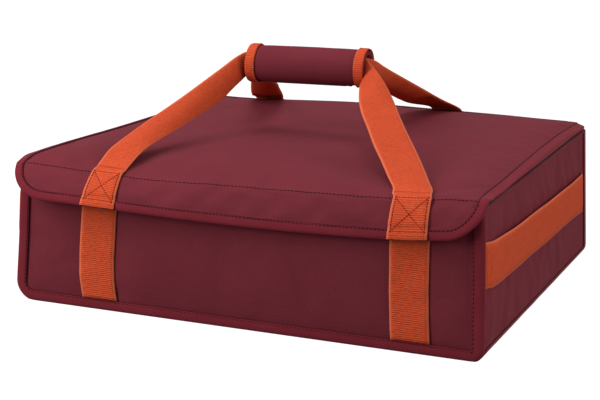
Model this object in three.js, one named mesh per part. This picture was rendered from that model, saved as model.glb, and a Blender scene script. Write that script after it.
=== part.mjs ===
// Insulated pizza delivery bag: a padded box of bound fabric panels, a hinged lid with a front
// closing flap, webbing straps and a padded grip. Millimetres. +X is the bag's right seen from the
// front, +Y its back and +Z up. The origin is the middle of the base, on the surface it stands on.
import * as THREE from 'three';

// Box
const bagWidth = 460;
const bagDepth = 460;
const wallHeight = 129.5;
const rimInset = 4; // how much each side leans in between its bottom corner and the rim
const bottomCornerRadius = 14;
const seat = 0.3; // clearance between pieces that touch

// Cloth, padding and tape
const fabric = 1.5;
const foam = 6;
const liner = 1;
const baseBoard = 2;
const rimTape = 1.6;
const bindingWidth = 11;
const bindingStep = 0.5; // how far the end bindings stand proud of the panels inside them

// Webbing
const webbing = 1.8;
const webbingWidth = 38;
const frontStrapLeftInset = 89.5; // from the bag's left side to the middle of the strap
const frontStrapRightInset = 62.5;
const frontStrapDrop = 17; // from the crease down to the top of the front straps
const backStrapLeftInset = 66;
const backStrapRightInset = 169;
const sideStrapWidth = 38;
const sideStrapFrontZ = 77;
const sideStrapRearZ = 58;
const sideStrapBow = 12;

// Lid
const lidFrontReach = 5; // how far the lid's front corners reach past the rim at each side
const lidRearReach = 1;
const lidOverhang = 1; // how far the lid reaches past the back of the box
const lidCornerRadius = 25;
const lidFrontDrop = 2.8; // how much lower the lid's top is at the crease than at the back
const lidBinding = 3;
const creaseReach = 0.8; // how far the crease stands in front of the box

// Closing flap
const flapReach = 2; // how far the flap reaches past the lid at each side
const flapLength = 38;
const flapLean = THREE.MathUtils.degToRad(25);
const flapCornerRadius = 31;
const flapLining = 1;
const patchRightShift = 4; // how far the right patch is sewn to the left of its strap
const hookTape = 1.2;
const hookDrop = 18; // from the crease down to the hook tape
const hookWidth = 16;
const hookMargin = 6; // how far the hook tape stays clear of the straps beside it

// Carry grip
const gripX = -20;
const gripY = -20;
const gripRise = 78.2; // from the lid's top to the middle of the grip
const gripLength = 130;
const gripRadius = 17.2;
const gripCover = 1.3;
const gripPadding = 4.6;
const bandWidth = 15;
const bandThickness = 1;
const foldedWidth = 20; // a strap folded lengthwise inside the grip
const foldedThickness = 3.6;
const wrapHinge = THREE.MathUtils.degToRad(150); // angles run from the front over the top
const wrapMouth = THREE.MathUtils.degToRad(-85);
const wrapLap = THREE.MathUtils.degToRad(14);
const strapTurn = 13; // how far outside the grip a strap turns into it
const strapTurnShare = 0.8; // how much of that turn is bent
const strapSlack = 5; // how far a strap bows below the straight line to the grip

const arcSteps = 8;
const wrapSteps = 18;
const strapSteps = 16;
const strapStrips = 4; // cuts across a strap's width, so that it can twist
const straightSteps = 5;
const bendSteps = 5;

const halfWidth = bagWidth / 2;
const halfDepth = bagDepth / 2;
const frontStrapLeftX = frontStrapLeftInset - halfWidth;
const frontStrapRightX = halfWidth - frontStrapRightInset;
const backStrapLeftX = backStrapLeftInset - halfWidth;
const backStrapRightX = halfWidth - backStrapRightInset;
const patchLeftX = frontStrapLeftX;
const patchRightX = frontStrapRightX - patchRightShift;
const panelFace = halfDepth - bindingStep;
const bindingDepth = bindingStep + fabric + seat;
const foamFace = halfDepth - bindingDepth - seat;
const linerFace = foamFace - foam - seat;
const innerFace = linerFace - liner;
const foamInset = fabric + seat;
const linerInset = foamInset + foam + seat;
const wallStack = linerInset + liner;
const boardZ = fabric + seat;
const baseFoamZ = boardZ + baseBoard + seat;
const baseLinerZ = baseFoamZ + foam + seat;
const rimTop = wallHeight + seat + rimTape;
const lidLinerZ = rimTop + seat;
const lidFoamZ = lidLinerZ + liner + seat;
const lidShellZ = lidFoamZ + foam + seat;
const lidTop = lidShellZ + fabric;
const lidFrontHalf = halfWidth - rimInset + lidFrontReach;
const lidRearHalf = halfWidth - rimInset + lidRearReach;
const flapHalf = lidFrontHalf + flapReach;
const lidRear = halfDepth + lidOverhang;
const creaseY = -(halfDepth + creaseReach);
const creaseZ = lidTop - lidFrontDrop;
const frontStrapTop = creaseZ - frontStrapDrop;
const hookTop = creaseZ - hookDrop;
const hookBottom = hookTop - hookWidth;
const flapDepth = fabric + seat + flapLining;
const gripZ = lidTop + gripRise;
const webbingOffset = (foldedThickness + seat) / 2;

function coloured(hex, roughness, metalness = 0) {
  return () => new THREE.MeshStandardMaterial({ color: hex, roughness, metalness });
}

const burgundyCloth = coloured(0x6b2630, 0.85);
const bindingTape = coloured(0x7e2a38, 0.75);
const orangeWebbing = coloured(0xcf552f, 0.7);
const foilLiner = coloured(0xc8cbce, 0.35, 0.6);
const greyFoam = coloured(0x4a4a4c, 0.95);
const plasticBoard = coloured(0x8c8d88, 0.6);
const blackTape = coloured(0x1d1416, 0.95);

const bag = new THREE.Group();

function add(name, geometry, material, parent = bag) {
  const mesh = new THREE.Mesh(geometry, material());
  mesh.name = name;
  parent.add(mesh);
}

function point(x, y) {
  return new THREE.Vector2(x, y);
}

function arc(x, y, radius, from, to, steps = arcSteps) {
  return Array.from({ length: steps + 1 }, (_, i) => {
    const angle = from + ((to - from) * i) / steps;
    return point(x + radius * Math.cos(angle), y + radius * Math.sin(angle));
  });
}

function extruded(points, depth) {
  return new THREE.ExtrudeGeometry(new THREE.Shape(points), { depth, bevelEnabled: false });
}

// An outline in X and Z, given its depth from frontY backwards
function upright(points, depth, frontY) {
  return extruded(points, depth).rotateX(Math.PI / 2).translate(0, frontY + depth, 0);
}

// An outline in X and Y, given its height from bottomZ up
function flat(points, height, bottomZ) {
  return extruded(points, height).translate(0, 0, bottomZ);
}

function block(x0, x1, y0, y1, z0, z1) {
  const box = new THREE.BoxGeometry(x1 - x0, y1 - y0, z1 - z0);
  return box.translate((x0 + x1) / 2, (y0 + y1) / 2, (z0 + z1) / 2);
}

function mirrored(points) {
  return points.map((p) => point(-p.x, p.y)).reverse();
}

// The side's outer face at a height, less an inset
function wallX(z, inset) {
  const share = Math.max(0, z - bottomCornerRadius) / (wallHeight - bottomCornerRadius);
  return halfWidth - rimInset * share - inset;
}

// The box's cross-section from the left rim round the bottom to the right rim
function endOutline(inset) {
  const radius = Math.max(bottomCornerRadius - inset, seat);
  const x = halfWidth - inset - radius;
  const z = inset + radius;
  const rimX = wallX(wallHeight, inset);
  return [
    point(-rimX, wallHeight),
    ...arc(-x, z, radius, Math.PI, Math.PI * 1.5),
    ...arc(x, z, radius, Math.PI * 1.5, Math.PI * 2),
    point(rimX, wallHeight),
  ];
}

// One layer of the right side wall, between two insets
function wallSlab(bottom, outer, inner) {
  const bend = Math.max(bottom, bottomCornerRadius);
  const heights = bend > bottom ? [bottom, bend, wallHeight] : [bottom, wallHeight];
  const outside = heights.map((z) => point(wallX(z, outer), z));
  const inside = heights.map((z) => point(wallX(z, inner), z)).reverse();
  return [...outside, ...inside];
}

function addSides(name, points, depth, frontY, material) {
  add(`left_${name}`, upright(mirrored(points), depth, frontY), material);
  add(`right_${name}`, upright(points, depth, frontY), material);
}

function addEnds(name, points, depth, face, material) {
  add(`front_${name}`, upright(points, depth, -face), material);
  add(`back_${name}`, upright(points, depth, face - depth), material);
}

function addOuterPanels() {
  addEnds('panel', endOutline(bindingWidth + seat), fabric, panelFace, burgundyCloth);
  const side = wallSlab(bottomCornerRadius + seat, 0, fabric);
  addSides('panel', side, 2 * foamFace, -foamFace, burgundyCloth);
  const base = halfWidth - bottomCornerRadius - seat;
  add('bottom_panel', block(-base, base, -foamFace, foamFace, 0, fabric), burgundyCloth);
}

function addInsulation() {
  addEnds('foam', endOutline(foamInset), foam, foamFace, greyFoam);
  const run = linerFace;
  const side = wallSlab(bottomCornerRadius + seat, foamInset, foamInset + foam);
  addSides('foam', side, 2 * run, -run, greyFoam);
  const x = halfWidth - linerInset;
  add('bottom_foam', block(-x, x, -run, run, baseFoamZ, baseFoamZ + foam), greyFoam);
  const board = halfWidth - bottomCornerRadius;
  const boardTop = boardZ + baseBoard;
  add('base_board', block(-board, board, -run, run, boardZ, boardTop), plasticBoard);
}

function addLiner() {
  const half = wallSlab(baseLinerZ, linerInset, linerInset);
  const rightSide = half.slice(0, half.length / 2);
  addEnds('liner', [...rightSide, ...mirrored(rightSide)], liner, linerFace, foilLiner);
  const run = innerFace - seat;
  addSides('liner', wallSlab(baseLinerZ, linerInset, wallStack), 2 * run, -run, foilLiner);
  const x = wallX(baseLinerZ, wallStack) - seat;
  add('bottom_liner', block(-x, x, -run, run, baseLinerZ, baseLinerZ + liner), foilLiner);
}

function addBoxBindings() {
  const ring = [...endOutline(0), ...endOutline(bindingWidth).reverse()];
  addEnds('binding', ring, bindingDepth, halfDepth, bindingTape);
  const x = halfWidth - bottomCornerRadius;
  const z = bottomCornerRadius;
  const corner = [
    ...arc(x, z, bottomCornerRadius, Math.PI * 1.5, Math.PI * 2),
    ...arc(x, z, bottomCornerRadius - fabric, Math.PI * 2, Math.PI * 1.5),
  ];
  addSides('bottom_binding', corner, 2 * foamFace, -foamFace, bindingTape);
}

function addRim() {
  const z0 = wallHeight + seat;
  const outer = wallX(wallHeight, 0);
  const inner = wallX(wallHeight, wallStack);
  const run = innerFace - seat;
  add('rim_tape_front', block(-outer, outer, -halfDepth, -innerFace, z0, rimTop), bindingTape);
  add('rim_tape_left', block(-outer, -inner, -run, run, z0, rimTop), bindingTape);
  add('rim_tape_right', block(inner, outer, -run, run, z0, rimTop), bindingTape);
  add('hinge_tape', block(-outer, outer, innerFace, halfDepth, z0, rimTop), bindingTape);
}

// A strip bent along a curve, cut at stops from 0 to 1: side(t) is the direction of its width
function ribbon(curve, stops, side, width, thickness) {
  const steps = stops.length - 1;
  const strip = new THREE.BoxGeometry(1, 1, 1, steps, strapStrips, 1);
  const position = strip.attributes.position;
  for (let i = 0; i < position.count; i += 1) {
    const t = stops[Math.round((position.getX(i) + 0.5) * steps)];
    const along = curve.getTangentAt(t);
    const across = side(t).addScaledVector(along, -side(t).dot(along)).normalize();
    const out = along.clone().cross(across);
    const place = curve.getPointAt(t);
    place.addScaledVector(across, position.getY(i) * width(t));
    place.addScaledVector(out, position.getZ(i) * thickness(t));
    position.setXYZ(i, place.x, place.y, place.z);
  }
  return strip;
}

function addFlatStraps() {
  const half = webbingWidth / 2;
  const bottom = bindingWidth + seat;
  const near = panelFace + seat;
  const far = near + webbing;
  for (const [side, x] of [['left', frontStrapLeftX], ['right', frontStrapRightX]]) {
    const strap = block(x - half, x + half, -far, -near, bottom, frontStrapTop);
    add(`front_strap_${side}`, strap, orangeWebbing);
  }
  for (const [side, x] of [['left', backStrapLeftX], ['right', backStrapRightX]]) {
    const strap = block(x - half, x + half, near, far, bottom, wallHeight);
    add(`back_strap_${side}`, strap, orangeWebbing);
  }
}

function addSideStraps() {
  const lean = new THREE.Vector3(-rimInset, 0, wallHeight - bottomCornerRadius).normalize();
  const clear = seat + webbing / 2;
  const bowed = clear + 2 * sideStrapBow;
  const middleZ = (sideStrapFrontZ + sideStrapRearZ) / 2;
  for (const [side, sign] of [['left', -1], ['right', 1]]) {
    const curve = new THREE.QuadraticBezierCurve3(
      new THREE.Vector3(sign * wallX(sideStrapFrontZ, -clear), -foamFace, sideStrapFrontZ),
      new THREE.Vector3(sign * wallX(middleZ, -bowed), 0, middleZ),
      new THREE.Vector3(sign * wallX(sideStrapRearZ, -clear), foamFace, sideStrapRearZ),
    );
    const across = () => new THREE.Vector3(sign * lean.x, 0, lean.z);
    const stops = Array.from({ length: strapSteps + 1 }, (_, i) => i / strapSteps);
    const strap = ribbon(curve, stops, across, () => sideStrapWidth, () => webbing);
    add(`side_strap_${side}`, strap, orangeWebbing);
  }
}

function addHookTape() {
  const half = webbingWidth / 2 + hookMargin;
  const near = panelFace + seat;
  const x0 = frontStrapLeftX + half;
  const x1 = frontStrapRightX - half;
  const tape = block(x0, x1, -(near + hookTape), -near, hookBottom, hookTop);
  add('hook_tape', tape, blackTape);
}

// The lid's plan, from its front left corner round the back to its front right corner
function lidOutline(inset, frontY) {
  const radius = lidCornerRadius - inset;
  const rear = lidRear - inset;
  const x = lidRearHalf - inset - radius;
  return [
    point(-(lidFrontHalf - inset), frontY),
    ...arc(-x, rear - radius, radius, Math.PI, Math.PI / 2),
    ...arc(x, rear - radius, radius, Math.PI / 2, 0),
    point(lidFrontHalf - inset, frontY),
  ];
}

// Lowers what lies above a height towards the crease
function slopeToCrease(geometry, above) {
  const position = geometry.attributes.position;
  for (let i = 0; i < position.count; i += 1) {
    const z = position.getZ(i);
    if (z > above) {
      const share = (lidRear - position.getY(i)) / (lidRear - creaseY);
      position.setZ(i, z - lidFrontDrop * share);
    }
  }
  return geometry;
}

function addLid() {
  const inset = lidBinding + seat;
  const back = creaseY + flapDepth + 2 * seat; // the folded flap's top edge lies in front of it
  const front = creaseY + seat;
  const middle = (lidFoamZ + lidShellZ) / 2;
  add('lid_liner', flat(lidOutline(inset, back), liner, lidLinerZ), foilLiner);
  const padding = slopeToCrease(flat(lidOutline(inset, back), foam, lidFoamZ), middle);
  add('lid_foam', padding, greyFoam);
  const shell = slopeToCrease(flat(lidOutline(inset, front), fabric, lidShellZ), 0);
  add('lid_shell', shell, burgundyCloth);
  const ring = [...lidOutline(0, back), ...lidOutline(lidBinding, back).reverse()];
  const edge = slopeToCrease(flat(ring, lidTop - lidLinerZ, lidLinerZ), middle);
  add('lid_binding', edge, bindingTape);
}

// The flap hangs from the crease: its group's origin is on the crease and its outer face is y = 0
function addFlap() {
  const flap = new THREE.Group();
  flap.position.set(0, creaseY, creaseZ);
  flap.rotation.x = -flapLean;
  bag.add(flap);

  const top = -(fabric + 2 * seat) / Math.cos(flapLean);
  const outline = (inset) => {
    const radius = flapCornerRadius - inset;
    const x = flapHalf - inset - radius;
    const z = -flapLength + inset + radius;
    return [
      point(-(flapHalf - inset), top),
      ...arc(-x, z, radius, Math.PI, Math.PI * 1.5),
      ...arc(x, z, radius, Math.PI * 1.5, Math.PI * 2),
      point(flapHalf - inset, top),
    ];
  };
  const field = outline(bindingWidth + seat);
  add('flap_shell', upright(field, fabric, 0), burgundyCloth, flap);
  add('flap_lining', upright(field, flapLining, fabric + seat), burgundyCloth, flap);
  const ring = [...outline(0), ...outline(bindingWidth).reverse()];
  add('flap_binding', upright(ring, flapDepth, 0), bindingTape, flap);

  const half = webbingWidth / 2;
  for (const [side, x] of [['left', patchLeftX], ['right', patchRightX]]) {
    const patch = block(x - half, x + half, -(seat + webbing), -seat, -flapLength, top);
    add(`flap_patch_${side}`, patch, orangeWebbing, flap);
  }

  const reach = (z) => (creaseZ - z) / Math.cos(flapLean);
  const x0 = frontStrapLeftX + half + hookMargin;
  const x1 = frontStrapRightX - half - hookMargin;
  const near = flapDepth + seat;
  const tape = block(x0, x1, near, near + hookTape, -reach(hookBottom), -reach(hookTop));
  add('loop_tape', tape, blackTape, flap);
}

// A path through points that rounds each corner, given how far before and after it the bend runs
function softPath(points, bends) {
  const path = new THREE.CurvePath();
  let from = points[0];
  points.slice(1, -1).forEach((corner, i) => {
    const before = from.clone().sub(corner).setLength(bends[i]).add(corner);
    const after = points[i + 2].clone().sub(corner).setLength(bends[i]).add(corner);
    path.add(new THREE.LineCurve3(from, before));
    path.add(new THREE.QuadraticBezierCurve3(before, corner, after));
    from = after;
  });
  path.add(new THREE.LineCurve3(from, points[points.length - 1]));
  return path;
}

// Where to cut a soft path: a few times in each straight, more often in each bend
function pathStops(path) {
  const ends = path.getCurveLengths();
  const total = ends[ends.length - 1];
  const stops = path.curves.flatMap((curve, i) => {
    const start = i ? ends[i - 1] : 0;
    const steps = curve.isLineCurve3 ? straightSteps : bendSteps;
    return Array.from({ length: steps }, (_, k) => start + ((ends[i] - start) * k) / steps);
  });
  return [...stops, total].map((length) => length / total);
}

// A strap that rises from the lid's edge, from its foot and first bend, and turns into the grip
function riser(foot, bend, bendSize, end) {
  const mouth = new THREE.Vector3(
    gripX + end.x * (gripLength / 2 + seat),
    gripY + end.y * webbingOffset,
    gripZ,
  );
  const turn = mouth.clone().add(new THREE.Vector3(end.x * strapTurn, 0, 0));
  const middle = bend.clone().lerp(turn, 0.5);
  const reach = middle.distanceTo(turn);
  middle.z -= strapSlack;
  const bends = [bendSize, reach / 2, strapTurn * strapTurnShare];
  const curve = softPath([foot, bend, middle, turn, mouth], bends);
  const fold = (t) => THREE.MathUtils.smoothstep(t, 0.75, 1);
  const twist = (t) => (THREE.MathUtils.smoothstep(t, 0.2, 1) * Math.PI) / 2;
  const side = (t) => new THREE.Vector3(Math.cos(twist(t)), 0, end.x * Math.sin(twist(t)));
  const width = (t) => THREE.MathUtils.lerp(webbingWidth, foldedWidth, fold(t));
  const thickness = (t) => THREE.MathUtils.lerp(webbing, foldedThickness, fold(t));
  return ribbon(curve, pathStops(curve), side, width, thickness);
}

function addRisers() {
  const lift = seat + webbing / 2;
  const lie = webbingWidth / 4; // how far a front strap lies on the lid before it rises
  const over = 5 * lift; // how far above the lid a back strap bends over
  for (const [side, x, sign] of [['left', patchLeftX, -1], ['right', patchRightX, 1]]) {
    const foot = new THREE.Vector3(x, creaseY + seat, creaseZ + lift);
    const bend = new THREE.Vector3(x, foot.y + lie, foot.z + lie / 4);
    add(`front_riser_${side}`, riser(foot, bend, lie / 2, { x: sign, y: -1 }), orangeWebbing);
  }
  for (const [side, x, sign] of [['left', backStrapLeftX, -1], ['right', backStrapRightX, 1]]) {
    const foot = new THREE.Vector3(x, lidRear + lift, lidLinerZ + seat);
    const bend = new THREE.Vector3(x, foot.y, lidTop + over);
    add(`rear_riser_${side}`, riser(foot, bend, over, { x: sign, y: 1 }), orangeWebbing);
  }
}

// A bent wall round the grip's axis; its angles run from the front over the top
function wrapWall(inner, outer, from, to, x0, x1) {
  const outside = arc(0, 0, outer, from, to, wrapSteps);
  const inside = arc(0, 0, inner, to, from, wrapSteps);
  const wall = extruded([...outside, ...inside], x1 - x0);
  const basis = new THREE.Matrix4().makeBasis(
    new THREE.Vector3(0, -1, 0),
    new THREE.Vector3(0, 0, 1),
    new THREE.Vector3(-1, 0, 0),
  );
  return wall.applyMatrix4(basis).translate(x1, 0, 0);
}

function addGrip() {
  const grip = new THREE.Group();
  grip.position.set(gripX, gripY, gripZ);
  bag.add(grip);

  const end = gripLength / 2;
  const half = foldedWidth / 2;
  for (const [side, sign] of [['front', -1], ['rear', 1]]) {
    const y = sign * webbingOffset;
    const t = foldedThickness / 2;
    add(`grip_webbing_${side}`, block(-end, end, y - t, y + t, -half, half), orangeWebbing, grip);
  }

  const coverInner = gripRadius - gripCover;
  const padOuter = coverInner - seat;
  const padInner = padOuter - gripPadding;
  const bandInner = gripRadius + seat;
  const bandOuter = bandInner + bandThickness;
  const cut = seat / padInner;
  const mouth = wrapMouth + Math.PI * 2;
  const halves = [
    ['grip', wrapMouth + cut, wrapHinge - cut],
    ['wing', wrapHinge + cut, mouth - cut],
  ];
  for (const [name, from, to] of halves) {
    const wall = (inner, outer, x0, x1) => wrapWall(inner, outer, from, to, x0, x1);
    add(`${name}_padding`, wall(padInner, padOuter, -end, end), greyFoam, grip);
    add(`${name}_cover`, wall(coverInner, gripRadius, -end, end), burgundyCloth, grip);
    const left = wall(bandInner, bandOuter, -end, -end + bandWidth);
    add(`${name}_band_left`, left, orangeWebbing, grip);
    const right = wall(bandInner, bandOuter, end - bandWidth, end);
    add(`${name}_band_right`, right, orangeWebbing, grip);
  }
  const x = end - bandWidth - seat;
  const lap = wrapWall(bandInner, bandOuter, mouth - wrapLap, mouth + wrapLap, -x, x);
  add('wing_hook_tape', lap, blackTape, grip);
}

addOuterPanels();
addInsulation();
addLiner();
addBoxBindings();
addRim();
addFlatStraps();
addSideStraps();
addHookTape();
addLid();
addFlap();
addRisers();
addGrip();

export default bag;
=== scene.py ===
import math

import bmesh
import bpy
import numpy as np
from mathutils import Matrix, Vector, noise
from mathutils.bvhtree import BVHTree


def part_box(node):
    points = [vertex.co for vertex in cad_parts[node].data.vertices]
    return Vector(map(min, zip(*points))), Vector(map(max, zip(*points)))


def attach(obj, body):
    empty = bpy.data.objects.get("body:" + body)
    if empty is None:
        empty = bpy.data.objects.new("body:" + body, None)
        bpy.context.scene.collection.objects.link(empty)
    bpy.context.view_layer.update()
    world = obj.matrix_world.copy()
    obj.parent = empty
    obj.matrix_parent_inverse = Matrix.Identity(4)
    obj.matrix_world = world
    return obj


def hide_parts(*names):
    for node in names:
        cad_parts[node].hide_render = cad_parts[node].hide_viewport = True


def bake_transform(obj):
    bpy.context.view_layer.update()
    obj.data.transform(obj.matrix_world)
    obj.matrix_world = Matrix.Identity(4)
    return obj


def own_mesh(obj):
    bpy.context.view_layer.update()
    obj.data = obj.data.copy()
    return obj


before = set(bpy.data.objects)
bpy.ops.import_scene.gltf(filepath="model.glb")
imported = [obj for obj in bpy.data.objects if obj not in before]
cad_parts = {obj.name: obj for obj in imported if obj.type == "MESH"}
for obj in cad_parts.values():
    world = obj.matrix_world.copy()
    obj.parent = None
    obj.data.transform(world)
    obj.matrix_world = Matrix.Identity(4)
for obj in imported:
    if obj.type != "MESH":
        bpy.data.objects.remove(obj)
scene = bpy.context.scene
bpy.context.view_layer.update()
print("frame loaded:", len(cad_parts), "nodes")


def low(node):
    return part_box(node)[0]


def high(node):
    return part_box(node)[1]


# measures that every soft piece is fitted to
baseX = high("front_binding").x + 0.0006
rimX = high("rim_tape_right").x
faceY = -low("front_panel").y
wallTop = high("right_panel").z
cornerRadius = high("right_bottom_binding").z - 0.0037
lidRearY = high("lid_binding").y
lidRearX = high("hinge_tape").x - 0.0024
lidFrontX = high("lid_shell").x + 0.0003
lidTopZ = high("lid_shell").z
flapX = high("flap_binding").x - 0.0012
creaseY, creaseZ = -0.2308, 0.138
gripLeft, gripRight = low("grip_cover").x + 0.0057, high("grip_cover").x + 0.0012
gripY = (low("grip_webbing_front").y + high("grip_webbing_rear").y) / 2
gripZ = (low("grip_webbing_front").z + high("grip_webbing_front").z) / 2 + 0.0006
gripRadius = 0.0183


def tone(red, green, blue):
    # a colour read on a screen, as the linear colour that a shader wants
    def linear(part):
        part = part / 255
        return part / 12.92 if part <= 0.04045 else ((part + 0.055) / 1.055) ** 2.4

    return (linear(red), linear(green), linear(blue), 1.0)


# ---- shader sums
class Reading:
    # one output of a material's nodes, so that its sums are written as Python sums
    def __init__(self, finish, socket):
        self.finish = finish
        self.socket = socket

    def __add__(self, other):
        return self.finish.sum("ADD", self, other)

    def __radd__(self, other):
        return self.finish.sum("ADD", other, self)

    def __sub__(self, other):
        return self.finish.sum("SUBTRACT", self, other)

    def __rsub__(self, other):
        return self.finish.sum("SUBTRACT", other, self)

    def __mul__(self, other):
        return self.finish.sum("MULTIPLY", self, other)

    def __rmul__(self, other):
        return self.finish.sum("MULTIPLY", other, self)

    def __truediv__(self, other):
        return self.finish.sum("DIVIDE", self, other)

    def __pow__(self, other):
        return self.finish.sum("POWER", self, other)

    def __abs__(self):
        return self.finish.sum("ABSOLUTE", self)

    def sine(self):
        return self.finish.sum("SINE", self)

    def clipped(self, least=0.0, most=1.0):
        return self.finish.node("ShaderNodeClamp", {}, {0: self, 1: least, 2: most})

    def between(self, start, end):
        return ((self - start) / (end - start)).clipped()


class Finish:
    def __init__(self, name, **constants):
        self.material = bpy.data.materials.new(name)
        self.material.use_nodes = True
        self.tree = self.material.node_tree
        self.shader = self.tree.nodes["Principled BSDF"]
        for socket, value in constants.items():
            self.shader.inputs[socket.replace("_", " ")].default_value = value

    def node(self, kind, settings, sockets, output=0):
        made = self.tree.nodes.new(kind)
        for key, value in settings.items():
            if key == "stops":
                for stop, (place, colour) in zip(made.color_ramp.elements, value):
                    stop.position, stop.color = place, colour
            else:
                setattr(made, key, value)
        for key, value in sockets.items():
            if isinstance(value, Reading):
                self.tree.links.new(value.socket, made.inputs[key])
            else:
                made.inputs[key].default_value = value
        return Reading(self, made.outputs[output])

    def sum(self, operation, *terms):
        return self.node("ShaderNodeMath", {"operation": operation}, dict(enumerate(terms)))

    def mixed(self, share, first, second):
        settings = {"data_type": "RGBA", "clamp_factor": True}
        return self.node("ShaderNodeMix", settings, {0: share, 6: first, 7: second}, 2)

    def place(self, output="Object"):
        where = self.node("ShaderNodeTexCoord", {}, {}, output)
        return where, [self.node("ShaderNodeSeparateXYZ", {}, {0: where}, k) for k in range(3)]

    def clouds(self, where, size, detail=2.0, rough=0.5):
        sockets = {"Vector": where, "Scale": 1 / size, "Detail": detail, "Roughness": rough}
        return self.node("ShaderNodeTexNoise", {}, sockets)

    def paint(self, **links):
        for socket, value in links.items():
            self.tree.links.new(value.socket, self.shader.inputs[socket.replace("_", " ")])
        return self.material

    def relief(self, height, depth, strength=1.0):
        sockets = {"Height": height, "Distance": depth, "Strength": strength}
        return self.node("ShaderNodeBump", {}, sockets)


def clothFinish(name, colour, shade, weave=0.0006):
    # woven nylon: a fine basket weave and soft mottling
    cloth = Finish(name, Roughness=0.8, Specular_IOR_Level=0.04)
    where, (x, y, z) = cloth.place()
    turn = 2 * math.pi / weave
    threads = (x * turn).sine() + (y * turn).sine() + (z * turn).sine()
    mottle = cloth.clouds(where, 0.05, 3.0)
    grain = cloth.clouds(where, 0.0016, 2.0)
    share = (mottle - 0.5) * 0.9 + (grain - 0.5) * 0.7 + threads * 0.05 + 0.5
    height = threads * 0.22 + grain * 1.1
    return cloth.paint(
        Base_Color=cloth.mixed(share.clipped(), shade, colour),
        Roughness=0.74 + mottle * 0.12,
        Normal=cloth.relief(height, 0.00016, 0.5),
    )


def tapeFinish(name, colour, shade):
    # ribbed binding tape: fine ribs run across it, and painted shade makes a dark line along its
    # inner edge, where it is sewn to the panel
    tape = Finish(name, Roughness=0.7, Specular_IOR_Level=0.05)
    where, (x, y, z) = tape.place()
    uv, (across, along, spare) = tape.place("UV")
    ribs = (along * (2 * math.pi / 0.0009)).sine()
    mottle = tape.clouds(where, 0.03, 3.0)
    grain = tape.clouds(where, 0.0012, 2.0)
    share = (mottle - 0.5) * 0.8 + (grain - 0.5) * 0.6 + ribs * 0.06 + 0.5
    # painted shade: the shadow in the groove at the tape's inner edge, drawn as a dark colour
    paintedSeamShade = 1 - across.between(0.0006, 0.0015)
    plain = tape.mixed(share.clipped(), shade, colour)
    return tape.paint(
        Base_Color=tape.mixed(paintedSeamShade * 0.85, plain, tone(44, 10, 16)),
        Roughness=0.62 + mottle * 0.16,
        Normal=tape.relief(ribs * 0.4 + grain, 0.0002, 0.6),
    )


def webbingFinish(name, colour, shade, pale, width):
    # webbing: ribs across it with short darker dashes, and a tight paler selvedge at each edge
    strap = Finish(name, Roughness=0.75, Specular_IOR_Level=0.06)
    where, (x, y, z) = strap.place()
    uv, (across, along, spare) = strap.place("UV")
    wander = (strap.clouds(where, 0.012) - 0.5) * 1.6
    ribs = (along * (2 * math.pi / 0.0019) + wander).sine()
    long = strap.node("ShaderNodeCombineXYZ", {}, {0: across * 0.28, 1: along, 2: 0.0})
    dashes = strap.clouds(long, 0.0011, 2.0)
    mottle = strap.clouds(where, 0.02, 3.0)
    grain = strap.clouds(where, 0.0009, 2.0)
    edge = abs(across).between(width / 2 - 0.0022, width / 2 - 0.0010)
    body = (ribs * 0.24 + (dashes - 0.5) * 1.1) * (1 - edge)
    share = body + (mottle - 0.5) * 0.35 + (grain - 0.5) * 0.3 + 0.55
    plain = strap.mixed(share.clipped(), shade, colour)
    fray = (along * (2 * math.pi / 0.0019)).sine() * 0.15 + 0.45
    return strap.paint(
        Base_Color=strap.mixed(edge * fray, plain, pale),
        Roughness=0.7 + grain * 0.12,
        Normal=strap.relief(body * 2.2 + grain * 0.3 + edge * 0.8, 0.0004, 0.8),
    )


def foilFinish(name):
    foil = Finish(name, Roughness=0.3, Metallic=0.85)
    where, (x, y, z) = foil.place()
    creases = foil.node("ShaderNodeTexVoronoi", {"feature": "DISTANCE_TO_EDGE"},
                        {"Vector": where, "Scale": 70.0})
    fine = foil.clouds(where, 0.006, 4.0)
    quilt = ((x * 210).sine() * (y * 210).sine()) * 0.3
    share = (fine - 0.3).clipped()
    return foil.paint(
        Base_Color=foil.mixed(share, tone(168, 171, 176), tone(214, 216, 220)),
        Roughness=0.22 + fine * 0.3,
        Normal=foil.relief(creases.between(0.0, 0.08) * 0.5 + fine + quilt, 0.0009, 0.7),
    )


def threadFinish(name, colour, shade):
    thread = Finish(name, Roughness=0.6, Specular_IOR_Level=0.08)
    where, (x, y, z) = thread.place()
    ply = ((x + y + z) * (2 * math.pi / 0.0007)).sine()
    tint = thread.clouds(where, 0.01)
    return thread.paint(
        Base_Color=thread.mixed((ply * 0.2 + tint).clipped(), shade, colour),
        Normal=thread.relief(ply, 0.00008, 0.5),
    )


def pileFinish(name):
    pile = Finish(name, Roughness=0.95)
    where, (x, y, z) = pile.place()
    fuzz = pile.clouds(where, 0.0012, 4.0, 0.7)
    rows = (x * (2 * math.pi / 0.0022)).sine() * 0.2
    return pile.paint(
        Base_Color=pile.mixed((fuzz + rows).clipped(), tone(16, 13, 14), tone(52, 44, 46)),
        Normal=pile.relief(fuzz + rows, 0.0009, 1.0),
    )


def boardFinish(name):
    board = Finish(name, Roughness=0.6)
    where, (x, y, z) = board.place()
    flute = (x * (2 * math.pi / 0.004)).sine()
    grime = board.clouds(where, 0.06, 4.0)
    return board.paint(
        Base_Color=board.mixed(grime, tone(118, 119, 114), tone(150, 151, 146)),
        Normal=board.relief(flute, 0.0004, 0.5),
    )


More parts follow.
